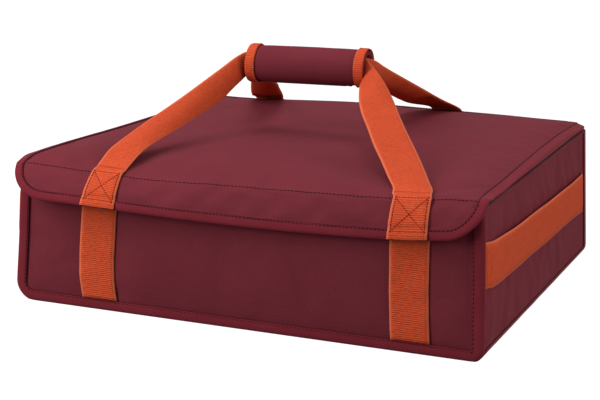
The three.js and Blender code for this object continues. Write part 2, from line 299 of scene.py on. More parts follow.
strapWidth = high("front_strap_left").x - low("front_strap_left").x - 0.0022
burgundyCloth = clothFinish("burgundyCloth", tone(124, 50, 60), tone(108, 40, 49))
bindingTape = tapeFinish("bindingTape", tone(134, 47, 58), tone(112, 33, 43))
orangeWebbing = webbingFinish(
    "orangeWebbing", tone(232, 96, 58), tone(184, 61, 33), tone(232, 134, 98), strapWidth)
foilLiner = foilFinish("foilLiner")
darkThread = threadFinish("darkThread", tone(52, 14, 20), tone(34, 8, 12))
rustThread = threadFinish("rustThread", tone(150, 44, 24), tone(112, 30, 18))
paleThread = threadFinish("paleThread", tone(236, 142, 108), tone(205, 96, 64))
blackPile = pileFinish("blackPile")
plainBoard = boardFinish("plainBoard")
print("finishes made")


# ---- mesh helpers
def smooth(value, start, end):
    share = np.clip((np.asarray(value, float) - start) / (end - start), 0, 1)
    return share * share * (3 - 2 * share)


def bump(value, middle, spread):
    return np.exp(-(((np.asarray(value, float) - middle) / spread) ** 2))


def ripple(point, size):
    return noise.noise(Vector(point) / size)


def makePiece(name, points, faces, material, uvs=None):
    mesh = bpy.data.meshes.new(name)
    mesh.from_pydata([tuple(map(float, p)) for p in points], [], faces)
    if uvs is not None:
        layer = mesh.uv_layers.new(name="strip")
        layer.data.foreach_set("uv", np.array(uvs, np.float32).ravel())
    mesh.materials.append(material)
    work = bmesh.new()
    work.from_mesh(mesh)
    bmesh.ops.recalc_face_normals(work, faces=work.faces)
    work.to_mesh(mesh)
    work.free()
    mesh.polygons.foreach_set("use_smooth", [True] * len(mesh.polygons))
    piece = bpy.data.objects.new(name, mesh)
    scene.collection.objects.link(piece)
    return piece


def loft(name, sections, material, across, along, closed=False):
    # joins sections, each an outer row of points followed by the inner row the other way
    sections = np.asarray(sections, float)
    count, size = sections.shape[:2]
    faces, uvs = [], []
    for i in range(count if closed else count - 1):
        after = (i + 1) % count
        for j in range(size):
            k = (j + 1) % size
            faces.append((i * size + j, i * size + k, after * size + k, after * size + j))
            uvs += [(across[j], along[i]), (across[k], along[i]),
                    (across[k], along[i + 1]), (across[j], along[i + 1])]
    if not closed:
        for i in (0, count - 1):
            for j in range(size // 2 - 1):
                quad = (j, j + 1, size - 2 - j, size - 1 - j)
                faces.append(tuple(i * size + q for q in quad))
                uvs += [(across[q], along[i]) for q in quad]
    return makePiece(name, sections.reshape(-1, 3), faces, material, uvs)


def pathLengths(points, closed=False):
    points = np.asarray(points, float)
    if closed:
        points = np.vstack([points, points[:1]])
    steps = np.linalg.norm(np.diff(points, axis=0), axis=1)
    return np.concatenate([[0], np.cumsum(steps)])


def finalMesh(piece, name=None):
    # the piece with its modifiers taken into its mesh
    shown = piece.evaluated_get(bpy.context.evaluated_depsgraph_get())
    mesh = bpy.data.meshes.new_from_object(shown)
    piece.modifiers.clear()
    piece.data = mesh
    mesh.name = name or piece.name
    return piece


def subdivided(piece, levels=1):
    modifier = piece.modifiers.new("round", "SUBSURF")
    modifier.levels = modifier.render_levels = levels
    return finalMesh(piece)


def treeOf(piece):
    points = [v.co.copy() for v in piece.data.vertices]
    return BVHTree.FromPolygons(points, [tuple(p.vertices) for p in piece.data.polygons])


def puffed(piece, held, cap, pressure=4.0, slack=0.0, frames=20):
    # blows the padded piece up against its held seams, and lets no point move past the cap
    group = piece.vertex_groups.new(name="seams")
    for weight in np.unique(held[held > 0]):
        group.add([int(i) for i in np.nonzero(held == weight)[0]], float(weight), "REPLACE")
    cloth = piece.modifiers.new("puff", "CLOTH")
    cloth.settings.quality = 5
    cloth.settings.mass = 0.3
    cloth.settings.tension_stiffness = 15
    cloth.settings.compression_stiffness = 15
    cloth.settings.shear_stiffness = 5
    cloth.settings.bending_stiffness = 0.5
    cloth.settings.use_pressure = True
    cloth.settings.uniform_pressure_force = pressure
    cloth.settings.effector_weights.gravity = 0
    cloth.settings.vertex_group_mass = "seams"
    cloth.settings.shrink_min = -slack
    cloth.collision_settings.use_collision = False
    cloth.point_cache.frame_start, cloth.point_cache.frame_end = 1, frames
    for number in range(1, frames + 1):
        scene.frame_set(number)
    shown = piece.evaluated_get(bpy.context.evaluated_depsgraph_get())
    after = np.array([v.co for v in shown.data.vertices])
    before = np.array([v.co for v in piece.data.vertices])
    piece.modifiers.clear()
    piece.vertex_groups.clear()
    scene.frame_set(1)
    move = after - before
    length = np.linalg.norm(move, axis=1, keepdims=True) + 1e-9
    move *= cap * np.tanh(length / cap) / length
    piece.data.vertices.foreach_set("co", (before + move).astype(np.float32).ravel())
    piece.data.update()
    print("puffed", piece.name, "by up to", round(float(np.linalg.norm(move, axis=1).max()), 4))


# ---- the padded box
endBinding = {
    "width": 0.0105,
    "tape": 0.0007,
    "frontReturn": 0.0032,  # how far the front tape turns onto the side
    "rearReturn": 0.0150,
    "rise": 0.0012,
}

boxShell = {
    "cells": 54,  # along each wall
    "grooveInset": 0.0106,
    "grooveDepth": 0.0016,
    "cornerPull": 0.0011,
    "wallRows": 14,
    "cap": 0.0062,
    "pressure": 3.4,
    "slack": 0.006,
    "frontRadius": 0.0085,  # how much rounder the left corner is at the front end
    "swell": 0.0018,  # how far the front stands out at its foot
}


def roundAt(y, side):
    more = 1 - float(smooth(y, -faceY, -faceY + 0.035))
    return cornerRadius + (boxShell["frontRadius"] * more if side < 0 else 0.0)


def rimLift(x, y):
    # the walls stand taller at the right, and along the back
    across = float(smooth(x, 0.12, 0.222))
    across += (float(smooth(x, -0.2, 0.05)) - across) * float(smooth(y, -0.22, -0.03))
    return across * (0.0076 + 0.0024 * float(smooth(y, -0.1, 0.15)))


def wallHalf(z, y=-faceY, side=1):
    # half the box's width: its top is drawn in a little towards the back
    radius = roundAt(y, side)
    if z < radius:
        return baseX - radius + math.sqrt(max(radius**2 - (radius - z) ** 2, 0))
    share = (z - radius) / (wallTop - radius)
    back = (y / faceY + 1) / 2
    drawn = 0.0048 * back
    if side > 0:
        drawn = 0.0032 + 0.0016 * float(smooth(y, -0.225, -0.14)) + 0.0012 * back
    return baseX - (baseX - rimX - 0.0012 + drawn) * share


def frontSwell(z):
    return boxShell["swell"] * (1 - float(smooth(z, 0.01, 0.07)))


def wallCuts(half, inset, cells):
    inner = np.linspace(-half + inset, half - inset, cells - 3)
    return np.concatenate([[-half, -half + inset * 0.35], inner, [half - inset * 0.35, half]])


def wallRing(halfX, halfY, z, cells, inset, pull):
    xs, ys = wallCuts(halfX, inset, cells), wallCuts(halfY, inset, cells)
    front = [(x, -halfY, z) for x in xs[:-1]]
    right = [(halfX, y, z) for y in ys[:-1]]
    back = [(x, halfY, z) for x in xs[:0:-1]]
    left = [(-halfX, y, z) for y in ys[:0:-1]]
    ring = np.array(front + right + back + left)
    ring[:, 0] *= [wallHalf(z, y, x) / wallHalf(z) for x, y in ring[:, :2]]
    ring[:, 2] += [rimLift(x, y) * z / wallTop for x, y in ring[:, :2]]
    for k in range(4):
        corner = ring[k * cells]
        corner[:2] -= np.sign(corner[:2]) * pull
    return ring


def ringIndex(i, j, start, cells):
    # which point of a ring is at the edge place i, j of the grid that fills it
    if j == 0:
        return start + i
    if i == cells:
        return start + cells + j
    if j == cells:
        return start + 3 * cells - i
    return start + (4 * cells - j) % (4 * cells)


def ringFaces(first, count, around):
    faces = []
    for r in range(count - 1):
        a, b = first + r * around, first + (r + 1) * around
        for p in range(around):
            q = (p + 1) % around
            faces.append((a + p, b + p, b + q, a + q))
    return faces


def makeBoxShell():
    s = boxShell
    cells, inset = s["cells"], s["grooveInset"]
    around = 4 * cells
    wallZ = list(np.linspace(wallTop, cornerRadius, s["wallRows"] + 1))
    wallZ.insert(1, wallTop - 0.003)
    roundZ = [cornerRadius * (1 - math.sin(math.radians(a))) for a in (14.5, 38, 62, 90)]
    points, held = [], []
    outerZ = wallZ + roundZ
    for z in outerZ:
        ring = wallRing(wallHalf(z), faceY, z, cells, inset, s["cornerPull"])
        for p, place in enumerate(ring):
            if place[1] < -faceY + 0.002:
                place[1] -= frontSwell(z)
            side, step = divmod(p, cells)
            fromSeam = min(step, cells - step)
            endWall = side in (0, 2)
            hold = 0.0
            if z > wallTop - 0.004 or z < (0.0108 if endWall else cornerRadius + 0.001):
                hold = 1.0
            if not endWall:
                hold = max(hold, 0.25 + 0.75 * float(smooth(place[1], 0.08, 0.21)))
            if fromSeam <= (2 if endWall else 1):
                hold = 1.0
            if endWall and hold == 0:
                straps = ["front_strap_left", "front_strap_right"] if side == 0 else [
                    "back_strap_left", "back_strap_right"]
                for strap in straps:
                    if low(strap).x - 0.002 < place[0] < high(strap).x + 0.002:
                        hold = 0.35
            if endWall and ((fromSeam == 2 and z > 0.0104) or (
                    abs(z - roundZ[0]) < 1e-6 and fromSeam >= 2)):
                place = place + np.array([0, 1 if side == 0 else -1, 0]) * s["grooveDepth"]
            points.append(place)
            held.append(hold)
    last = (len(outerZ) - 1) * around

    def floorFaces(start, halfX, halfY, z):
        # fills a ring with a grid of faces
        xs, ys = wallCuts(halfX, inset, cells), wallCuts(halfY, inset, cells)
        index = {}
        for i in range(cells + 1):
            for j in range(cells + 1):
                if 0 < i < cells and 0 < j < cells:
                    index[i, j] = len(points)
                    points.append(np.array([xs[i], ys[j], z]))
                    held.append(1.0)
                else:
                    index[i, j] = ringIndex(i, j, start, cells)
        return [(index[i, j], index[i + 1, j], index[i + 1, j + 1], index[i, j + 1])
                for i in range(cells) for j in range(cells)]

    faces = ringFaces(0, len(outerZ), around)
    faces += floorFaces(last, wallHalf(0), faceY, 0.0)

    depth = rimX - low("right_foam").x
    innerY = -high("front_foam").y
    floorZ = high("bottom_foam").z
    innerZ = list(np.linspace(floorZ, wallTop, s["wallRows"]))
    first = len(points)
    for z in innerZ:
        half = wallHalf(max(z, cornerRadius)) - depth
        points += list(wallRing(half, innerY, z, cells, inset, s["cornerPull"]))
        held += [1.0] * around
    faces += ringFaces(first, len(innerZ), around)
    faces += floorFaces(first, wallHalf(cornerRadius) - depth, innerY, floorZ)
    rim = first + (len(innerZ) - 1) * around
    for p in range(around):
        q = (p + 1) % around
        faces.append((p, q, rim + q, rim + p))

    # soft unevenness of the cloth before it is blown up
    held = np.array(held)
    for k in np.nonzero(held[: len(outerZ) * around] < 1)[0]:
        place = points[k]
        out = np.array([0.0, 0.0, 0.0])
        axis = 1 if abs(place[1]) > faceY - 0.0020 else 0
        out[axis] = math.copysign(1, place[axis])
        dent = 0.0009 * ripple(place, 0.07) + 0.0004 * ripple(place, 0.026)
        if axis == 0:
            # short slanting puckers hang under the lid towards the back of each side
            upper = smooth(place[2], 0.05, 0.115) * smooth(place[1], -0.12, 0.12)
            slant = (place[1] + place[2] * 0.6, place[2] * 0.22, 0.3)
            dent += upper * (0.0022 * ripple(slant, 0.016) + 0.0012 * ripple(slant, 0.03))
        points[k] = place + out * dent
    piece = makePiece("boxShell", points, faces, burgundyCloth)
    puffed(piece, held, s["cap"], s["pressure"], s["slack"])
    return subdivided(piece)


box = makeBoxShell()
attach(box, "box")
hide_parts(*[f"{side}_{layer}" for side in ("front", "back", "left", "right", "bottom")
                   for layer in ("panel", "foam")])
boxTree = treeOf(box)
print("box shell made:", len(box.data.polygons), "faces")


# ---- binding round the ends of the box
def endPath(sign):
    # round the end of the box in X and Z from the left rim to the right rim, with outward ways
    level = sign * faceY

    def half(side):
        radius = roundAt(level, side)
        line = [(wallHalf(z, level, side), z, 1.0, 0.0) for z in np.linspace(wallTop, radius, 24)]
        line += [(baseX - radius + radius * math.cos(a), radius - radius * math.sin(a),
                  math.cos(a), -math.sin(a)) for a in np.radians(np.linspace(0, 90, 11))[1:]]
        return line + [(x, 0.0, 0.0, -1.0) for x in np.linspace(baseX - radius, 0, 28)[1:]]

    left = [(-x, z, -ox, oz) for x, z, ox, oz in half(-1)]
    return [(x, z + rimLift(x, level) * z / wallTop, ox, oz)
            for x, z, ox, oz in left + half(1)[-2::-1]]


def makeEndBinding(name, node, sign, wrap):
    s = endBinding
    width, tape, rise = s["width"], s["tape"], s["rise"]
    outer = [(width, 0.0003), (width - 0.0006, rise * 0.75), (width * 0.72, rise),
             (width * 0.4, rise * 0.95), (0.0018, rise * 0.8), (0.0003, 0.0002),
             (-0.0006, -0.0012), (-0.0008, -wrap * 0.6), (-0.0007, -wrap)]
    inner = [(a + (0.0 if b > 0 else tape), b - (tape if b > 0 else 0)) for a, b in outer[::-1]]
    section = outer + inner
    path = endPath(sign)
    sections = []
    for k, (x, z, ox, oz) in enumerate(path):
        wave = 0.0002 * ripple((x, z, sign), 0.02)
        row = []
        for a, b in section:
            lift = b + (wave if a > 0.001 else 0)
            level = faceY + lift + (frontSwell(z - oz * a) if sign < 0 else 0)
            row.append((x - ox * a, sign * level, max(z - oz * a, 0.0001)))
        sections.append(row)
    across = [width - (a - b) for a, b in section]
    piece = loft(name, sections, bindingTape, across, pathLengths([(p[0], 0, p[1]) for p in path]))
    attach(piece, "box")
    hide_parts(node)


makeEndBinding("frontBinding", "front_binding", -1, endBinding["frontReturn"])
makeEndBinding("backBinding", "back_binding", 1, endBinding["rearReturn"])


def makeBottomBinding(name, node, sign):
    # the tape along a side's bottom edge, from the base round to just above the corner
    reach, tape = high(node).y, 0.0008
    angles = np.radians(np.linspace(-90, 0, 9))
    ring = [(math.cos(a), math.sin(a)) for a in angles]
    ys = np.linspace(-reach, reach, 64)
    sections = []
    for y in ys:
        lift = 0.0007 + 0.00015 * ripple((sign, y, 0.0), 0.03)
        row, corner = [], roundAt(y, sign)
        for radius in (corner + lift, corner + lift - tape):
            line = [(sign * (baseX - corner + radius * c), y,
                     max(corner + radius * s, 0.0001)) for c, s in ring]
            row.append(line)
        sections.append(row[0] + row[1][::-1])
    arc = [-cornerRadius * a for a in angles]
    piece = loft(name, sections, bindingTape, arc + arc[::-1], ys)
    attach(piece, "box")
    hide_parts(node)


makeBottomBinding("leftBottomBinding", "left_bottom_binding", -1)
makeBottomBinding("rightBottomBinding", "right_bottom_binding", 1)
print("box bindings made")


# ---- rim tape, hinge cloth, board and liner
def roundedLoop(halfX, halfY, radius, step=0.012, turns=7):
    # a rounded rectangle in plan, each point with its outward way
    loop = []
    for k, (sx, sy) in enumerate(((1, -1), (1, 1), (-1, 1), (-1, -1))):
        start = math.radians(-90 + 90 * k)
        cx, cy = sx * (halfX - radius), sy * (halfY - radius)
        for a in np.linspace(start, start + math.pi / 2, turns):
            ox, oy = math.cos(a), math.sin(a)
            loop.append((cx + radius * ox, cy + radius * oy, ox, oy))
        nx, ny = ((1, 1), (-1, 1), (-1, -1), (1, -1))[k]
        last = loop[-1]
        following = math.radians(90 * k)
        fx = nx * (halfX - radius) + radius * math.cos(following)
        fy = ny * (halfY - radius) + radius * math.sin(following)
        gap = math.hypot(fx - last[0], fy - last[1])
        for t in np.linspace(0, 1, max(int(gap / step), 2) + 1)[1:-1]:
            loop.append((last[0] + (fx - last[0]) * t, last[1] + (fy - last[1]) * t,
                         math.cos(following), math.sin(following)))
    return loop


def makeRimTape():
    top = high("rim_tape_front").z
    depth = 0.0096
    loop = roundedLoop(rimX, faceY, 0.004)
    outer = [(-0.0006, -0.0032), (-0.0008, -0.0014), (-0.0003, 0.0), (0.0012, 0.0004),
             (depth * 0.5, 0.0006), (depth - 0.0012, 0.0004), (depth + 0.0003, 0.0),
             (depth + 0.0007, -0.002), (depth + 0.0006, -0.0065)]
    inner = [(0.0, -0.0032), (0.0, -0.0018), (0.0004, -0.0011), (0.0014, -0.0007),
             (depth * 0.5, -0.0006), (depth - 0.0014, -0.0007), (depth - 0.0004, -0.0011),
             (depth, -0.002), (depth, -0.0065)]
    section = outer + inner[::-1]
    base = top - 0.0007
    sections = []
    for x, y, ox, oy in loop:
        x *= wallHalf(wallTop, y, x) / rimX
        wave = 0.00025 * ripple((x, y, 0.0), 0.03) + rimLift(x, y)
        sections.append([(x - ox * a, y - oy * a, base + b + wave) for a, b in section])
    across = [a - b for a, b in section]
    piece = loft("rimTape", sections, bindingTape, across, pathLengths(
        [p[:2] for p in loop], True), True)
    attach(piece, "box")
    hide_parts("rim_tape_front", "rim_tape_left", "rim_tape_right")


makeRimTape()


def makeHingeCloth():
    # the strip that joins the back panel to the lid
    reach = rimX - 0.026
    z0, z1 = wallTop - 0.013, lidTopZ - 0.0035
    heights = np.concatenate([np.linspace(z0, 0.1285, 5), np.linspace(0.1293, 0.1345, 9),
                              np.linspace(0.1358, z1, 3)])
    line = [(faceY + 0.0011 + 0.0007 * smooth(z, 0.128, 0.133), z) for z in heights]
    xs = np.linspace(-reach, reach, 60)
    sections = []
    for x in xs:
        taller = [z + rimLift(x, faceY) * float(smooth(z, 0.1345, z1)) for y, z in line]
        outer = [(x, y + 0.0007, z) for (y, before), z in zip(line, taller)]
        inner = [(x, y, z) for (y, before), z in zip(line, taller)]
        sections.append(outer + inner[::-1])
    lengths = list(heights)
    more = float(np.mean([rimLift(x, faceY) for x in xs]))
    piece = loft("hingeCloth", sections, burgundyCloth, lengths + lengths[::-1], xs)
    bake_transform(piece)
    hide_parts("hinge_tape")


makeHingeCloth()

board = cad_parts["base_board"]
board.data.materials.clear()
board.data.materials.append(plainBoard)

liner = {
    "inset": 0.0006,
    "sheet": 0.0008,
    "crinkle": 0.0006,
}


def makeBoxLiner():
    # a foil tub: rings up the walls and across the floor, given a thickness
    s = liner
    depth = rimX - low("right_foam").x
    innerY = -high("front_foam").y
    floorZ = low("bottom_liner").z + 0.0003
    cells, inset = 44, 0.012
    around = 4 * cells
    zs = np.linspace(wallTop - 0.004, floorZ + 0.006, 16)
    rings = [(wallHalf(z) - depth - s["inset"], innerY - s["inset"], z) for z in zs]
    rings.append((wallHalf(0.02) - depth - 0.0022, innerY - 0.0022, floorZ + 0.0022))
    rings.append((wallHalf(0.02) - depth - 0.006, innerY - 0.006, floorZ + 0.0004))
    points = []
    for halfX, halfY, z in rings:
        for place in wallRing(halfX, halfY, z, cells, inset, 0.0022):
            wave = s["crinkle"] * (ripple(place, 0.02) + 0.5 * ripple(place, 0.008))
            points.append(place - np.array([place[0], place[1], 0]) / 0.22 * abs(wave))
    last = (len(rings) - 1) * around
    faces = []
    for r in range(len(rings) - 1):
        for p in range(around):
            q = (p + 1) % around
            a, b = r * around, (r + 1) * around
            faces.append((a + p, a + q, b + q, b + p))
    halfX, halfY, z = rings[-1]
    xs, ys = wallCuts(halfX, inset, cells), wallCuts(halfY, inset, cells)
    index = {}
    for i in range(cells + 1):
        for j in range(cells + 1):
            if 0 < i < cells and 0 < j < cells:
                index[i, j] = len(points)
                lift = s["crinkle"] * abs(ripple((xs[i], ys[j], 0.5), 0.03))
                points.append(np.array([xs[i], ys[j], floorZ + lift]))
            else:
                index[i, j] = ringIndex(i, j, last, cells)
    faces += [(index[i, j], index[i, j + 1], index[i + 1, j + 1], index[i + 1, j])
              for i in range(cells) for j in range(cells)]
    mesh = bpy.data.meshes.new("boxLiner")
    mesh.from_pydata([tuple(p) for p in points], [], faces)
    mesh.materials.append(foilLiner)
    mesh.polygons.foreach_set("use_smooth", [True] * len(mesh.polygons))
    piece = bpy.data.objects.new("boxLiner", mesh)
    scene.collection.objects.link(piece)
    wall = piece.modifiers.new("sheet", "SOLIDIFY")
    wall.thickness, wall.offset = s["sheet"], 1.0
    finalMesh(piece)
    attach(piece, "box")
    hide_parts(*[f"{side}_liner" for side in ("front", "back", "left", "right", "bottom")])


makeBoxLiner()
print("rim, hinge and liner made")


# ---- the lid and the flap: one soft sheet that goes over the crease
lidSheet = {
    "edgeInset": 0.0012,
    "rearRadius": 0.015,
    "flapRadius": 0.034,
    "padding": 0.0078,
    "edgePadding": 0.0066,
    "flapPadding": 0.0030,
    "creasePadding": 0.0018,
    "flapRun": 0.0355,
    "cells": 58,
    "stitchInset": 0.0088,
    "cap": 0.0048,
    "pressure": 4.0,
    "slack": 0.006,
    "creaseRun": (0.0905, 0.1090),  # -Y - Z where the sheet starts and ends its bend
}

flapMeasures = [
    # place across, then the crease and the flap's bottom edge, each as Y and Z
    (-0.2330, -0.2320, 0.1346, -0.2500, 0.1058),
    (-0.1950, -0.2325, 0.1338, -0.2508, 0.1050),
    (-0.1650, -0.2330, 0.1332, -0.2512, 0.1047),
    (-0.1350, -0.2338, 0.1323, -0.2510, 0.1040),
    (-0.1080, -0.2342, 0.1317, -0.2506, 0.1032),
    (-0.0600, -0.2342, 0.1320, -0.2490, 0.1018),
    (-0.0300, -0.2330, 0.1334, -0.2478, 0.1013),
    (0.0180, -0.2320, 0.1345, -0.2462, 0.1010),
    (0.0580, -0.2320, 0.1350, -0.2455, 0.1014),
    (0.1030, -0.2320, 0.1362, -0.2452, 0.1029),
    (0.1380, -0.2315, 0.1382, -0.2445, 0.1042),
    (0.1650, -0.2305, 0.1395, -0.2437, 0.1058),
    (0.1900, -0.2290, 0.1418, -0.2435, 0.1086),
    (0.2150, -0.2275, 0.1426, -0.2438, 0.1106),
    (0.2330, -0.2265, 0.1428, -0.2440, 0.1110),
]


def lidCrown(x, y):
    # the lid stands a little higher towards its back, most of all at the right
    rear = (0.0012 + 0.0068 * float(smooth(x, -0.2, -0.02))) * float(smooth(y, -0.22, 0.12))
    midway = smooth(y, -0.235, -0.17) * (1 - smooth(y, 0.1, 0.235))
    rear += 0.0028 * float(smooth(x, 0.1, 0.21) * midway)
    return rear + 0.0028 * float(smooth(-x, 0.11, 0.2) * bump(y, -0.19, 0.07))


def edgeDrop(x, y):
    # how much more the right edge is rolled down
    return 0.0022 * float(smooth(x, 0.12, 0.2) * smooth(y, -0.225, -0.17))


def spinePoints(x):
    # the sheet's outer line from the back edge to the flap's bottom, at one place across
    places = [row[0] for row in flapMeasures]
    creaseY, creaseZ, bottomY, bottomZ = (
        np.interp(x, places, [row[k] for row in flapMeasures]) for k in range(1, 5))
    rise = creaseZ - 0.1338
    rear = lidRearY - lidSheet["edgeInset"]
    line = [(y, lidTopZ - drop + share * rise + lidCrown(x, y)) for y, drop, share in (
        (rear, 0.0, 0.0), (0.11, 0.0002, 0.0), (-0.03, 0.0005, 0.0), (-0.15, 0.0014, 0.05),
        (-0.196, 0.0028, 0.35), (-0.2145, 0.0044, 0.7))]
    line += [(creaseY + 0.0062, creaseZ + 0.0014), (creaseY, creaseZ)]
    down = np.array([bottomY - creaseY, bottomZ - creaseZ])
    out = np.array([down[1], -down[0]]) / np.linalg.norm(down)
    swells = ((0.12, 0.0008), (0.35, 0.0019), (0.62, 0.0020), (0.85, 0.0011), (1.0, 0.0))
    for share, swell in swells:
        line.append(tuple(np.array([creaseY, creaseZ]) + down * share + out * swell))
    return line


def curveThrough(points, count):
    # a smooth line through points, cut into even lengths
    points = np.asarray(points, float)
    ends = np.vstack([2 * points[0] - points[1], points, 2 * points[-1] - points[-2]])
    line = []
    for i in range(1, len(ends) - 2):
        a, b, c, d = ends[i - 1: i + 3]
        gap = [max(np.linalg.norm(q - p), 1e-9) ** 0.5 for p, q in ((a, b), (b, c), (c, d))]
        t0, t1, t2, t3 = np.cumsum([0] + gap)
        for t in np.linspace(t1, t2, 24, endpoint=False):
            p1 = (t1 - t) / (t1 - t0) * a + (t - t0) / (t1 - t0) * b
            p2 = (t2 - t) / (t2 - t1) * b + (t - t1) / (t2 - t1) * c
            p3 = (t3 - t) / (t3 - t2) * c + (t - t2) / (t3 - t2) * d
            q1 = (t2 - t) / (t2 - t0) * p1 + (t - t0) / (t2 - t0) * p2
            q2 = (t3 - t) / (t3 - t1) * p2 + (t - t1) / (t3 - t1) * p3
            line.append((t2 - t) / (t2 - t1) * q1 + (t - t1) / (t2 - t1) * q2)
    line.append(points[-1])
    line = np.array(line)
    lengths = pathLengths(line)
    at = np.linspace(0, lengths[-1], count)
    columns = [np.interp(at, lengths, line[:, k]) for k in range(line.shape[1])]
    return np.stack(columns, axis=1), lengths[-1]


lidSteps, flapSteps = 700, 120  # rows of the spine tables above and below the crease


def spineTable(x):
    # one line of the sheet, cut so that its crease falls on the same step at every place across
    points = spinePoints(x)
    line, length = curveThrough(points, 3000)
    crease = int(np.argmin(np.hypot(*(line - np.array(points[7])).T)))
    steps = np.concatenate([np.linspace(0, crease, lidSteps),
                            np.linspace(crease, len(line) - 1, flapSteps + 1)[1:]])
    whole = np.arange(len(line))
    table = [np.interp(steps, whole, line[:, k]) for k in (0, 1)]
    return table + [length * crease / (len(line) - 1)]


sheetColumns = np.linspace(-flapX, flapX, 61)
spines = [spineTable(x) for x in sheetColumns]
spineY = np.array([spine[0] for spine in spines])
spineZ = np.array([spine[1] for spine in spines])
creaseAt = float(np.mean([spine[2] for spine in spines]))
sheetLength = creaseAt + lidSheet["flapRun"]


def outlineHalf(s):
    # half the sheet's width, without its rounded corners
    share = np.clip(np.asarray(s, float) / creaseAt, 0, 1)
    half = lidRearX + (lidFrontX - lidRearX) * share
    half = half + (flapX - lidFrontX) * smooth(s, creaseAt - 0.045, creaseAt + 0.003)
    return half - lidSheet["edgeInset"]


def edgeGap(x, s):
    # how far a place on the sheet is from its edge
    half = float(outlineHalf(s))
    x = abs(x)
    gap = min(half - x, s, sheetLength - s)
    for radius, away in ((lidSheet["rearRadius"], s), (lidSheet["flapRadius"], sheetLength - s)):
        if away < radius and x > half - radius:
            gap = min(gap, radius - math.hypot(radius - away, x - (half - radius)))
    return gap


def rowHalf(s):
    half = float(outlineHalf(s))
    for radius, away in ((lidSheet["rearRadius"], s), (lidSheet["flapRadius"], sheetLength - s)):
        if away < radius:
            half -= radius - math.sqrt(max(radius**2 - (radius - away) ** 2, 0))
    return half


def spineAt(x, s):
    count = len(sheetColumns)
    column = np.clip((x + flapX) / (2 * flapX) * (count - 1), 0, count - 1.001)
    if s < creaseAt:
        row = max(s, 0) / creaseAt * (lidSteps - 1)
    else:
        below = (s - creaseAt) / (sheetLength - creaseAt) * flapSteps
        row = min(lidSteps - 1 + below, lidSteps + flapSteps - 1.001)
    i, k = int(column), int(row)
    u, v = column - i, row - k
    found = []
    for table in (spineY, spineZ):
        found.append((table[i, k] * (1 - u) + table[i + 1, k] * u) * (1 - v)
                     + (table[i, k + 1] * (1 - u) + table[i + 1, k + 1] * u) * v)
    return found


def sheetPadding(x, y, s, gap):
    p = lidSheet
    onFlap = float(smooth(s, creaseAt + 0.004, creaseAt + 0.02))
    thick = p["padding"] + (p["flapPadding"] - p["padding"]) * onFlap
    edge = p["edgePadding"] + (p["flapPadding"] - 0.0006 - p["edgePadding"]) * onFlap
    thick = edge + (thick - edge) * float(smooth(gap, 0.002, 0.016))
    spread = 0.018 if s < creaseAt else 0.0055
    thick += (p["creasePadding"] - thick) * float(bump(s, creaseAt, spread))
    thick -= edgeDrop(x, y) * (1 - float(smooth(gap, 0.0, 0.013)))
    under = rimLift(x, y) * (1 - float(smooth(s, creaseAt - 0.012, creaseAt - 0.002)))
    return max(thick + lidCrown(x, y) - under, 0.0016)


def sheetPoint(x, s):
    # a place on the sheet's outer face, its outward way and the padding under it
    gap = edgeGap(x, s)
    y, z = spineAt(x, s)
    step = 0.0015
    y0, z0 = spineAt(x, max(s - step, 0))
    y1, z1 = spineAt(x, min(s + step, sheetLength))
    out = np.array([0.0, -(z0 - z1), y0 - y1])
    out /= np.linalg.norm(out)
    onLid = 1 - float(smooth(s, creaseAt - 0.03, creaseAt - 0.008))
    sink = (0.0016 + edgeDrop(x, y)) * (1 - float(smooth(gap, 0.0, 0.013))) * (0.35 + 0.65 * onLid)
    sink += 0.0007 * float(bump(gap, lidSheet["stitchInset"] + 0.0008, 0.0016))
    if x > 0:
        half = 0.2213 + 0.0040 * float(smooth(s, creaseAt - 0.045, creaseAt - 0.005))
        aside = (half - float(outlineHalf(s))) * float(smooth(x, 0.18, 0.222))
    else:
        aside = 0.0014 * float(smooth(s, creaseAt - 0.02, creaseAt + 0.004) * smooth(-x, 0.02, 0.2))
    sink += 0.0008 * float(bump(s, creaseAt, 0.0014) * smooth(gap, 0.008, 0.011))
    place = np.array([x + aside, y, z]) - out * sink
    return place, out, sheetPadding(x, y, s, gap)


def sheetDents(x, s, place):
    # wrinkles: puckers that fan from the crease, soft dents on the flap, and a rumpled left rear
    fromCrease = s - creaseAt
    pucker = math.exp(-abs(fromCrease) / 0.009) * 0.0007 * ripple((x, 0.4, 0.1), 0.009)
    onFlap = float(smooth(fromCrease, 0.004, 0.014))
    dent = 0.0
    for middle in (-0.075, -0.035, 0.0, 0.03, 0.075):
        dent -= 0.0021 * float(bump(x + 0.5 * (fromCrease - 0.02), middle, 0.007))
    soft = 0.0011 * ripple(place, 0.06) + 0.0006 * ripple(place, 0.028)
    rumple = float(bump(x, -0.15, 0.055)) * float(bump(place[1], 0.15, 0.07))
    folds = ripple((x, place[1], 0.3), 0.03) + 0.5 * ripple((x, place[1], 0.9), 0.014)
    soft += 0.0024 * rumple * folds
    return pucker + onFlap * dent + soft


def sheetRows():
    p = lidSheet
    rear = [0, 0.0008, 0.003, 0.006, p["stitchInset"], 0.0125, 0.018, 0.025]
    flat = list(np.linspace(0.025, creaseAt - 0.03, 50))[1:]
    fold = list(creaseAt + np.array([-0.023, -0.017, -0.012, -0.008, -0.005, -0.0025, 0.0,
                                     0.0022, 0.0045]))
    tail = [sheetLength - d for d in (0.0275, 0.0235, 0.0195, 0.0155, 0.0120, p["stitchInset"],
                                      0.0055, 0.0025, 0.0007, 0.0)]
    middle = list(np.linspace(fold[-1], tail[0], 3 + int((tail[0] - fold[-1]) / 0.004)))[1:-1]
    return rear + flat + fold + middle + tail


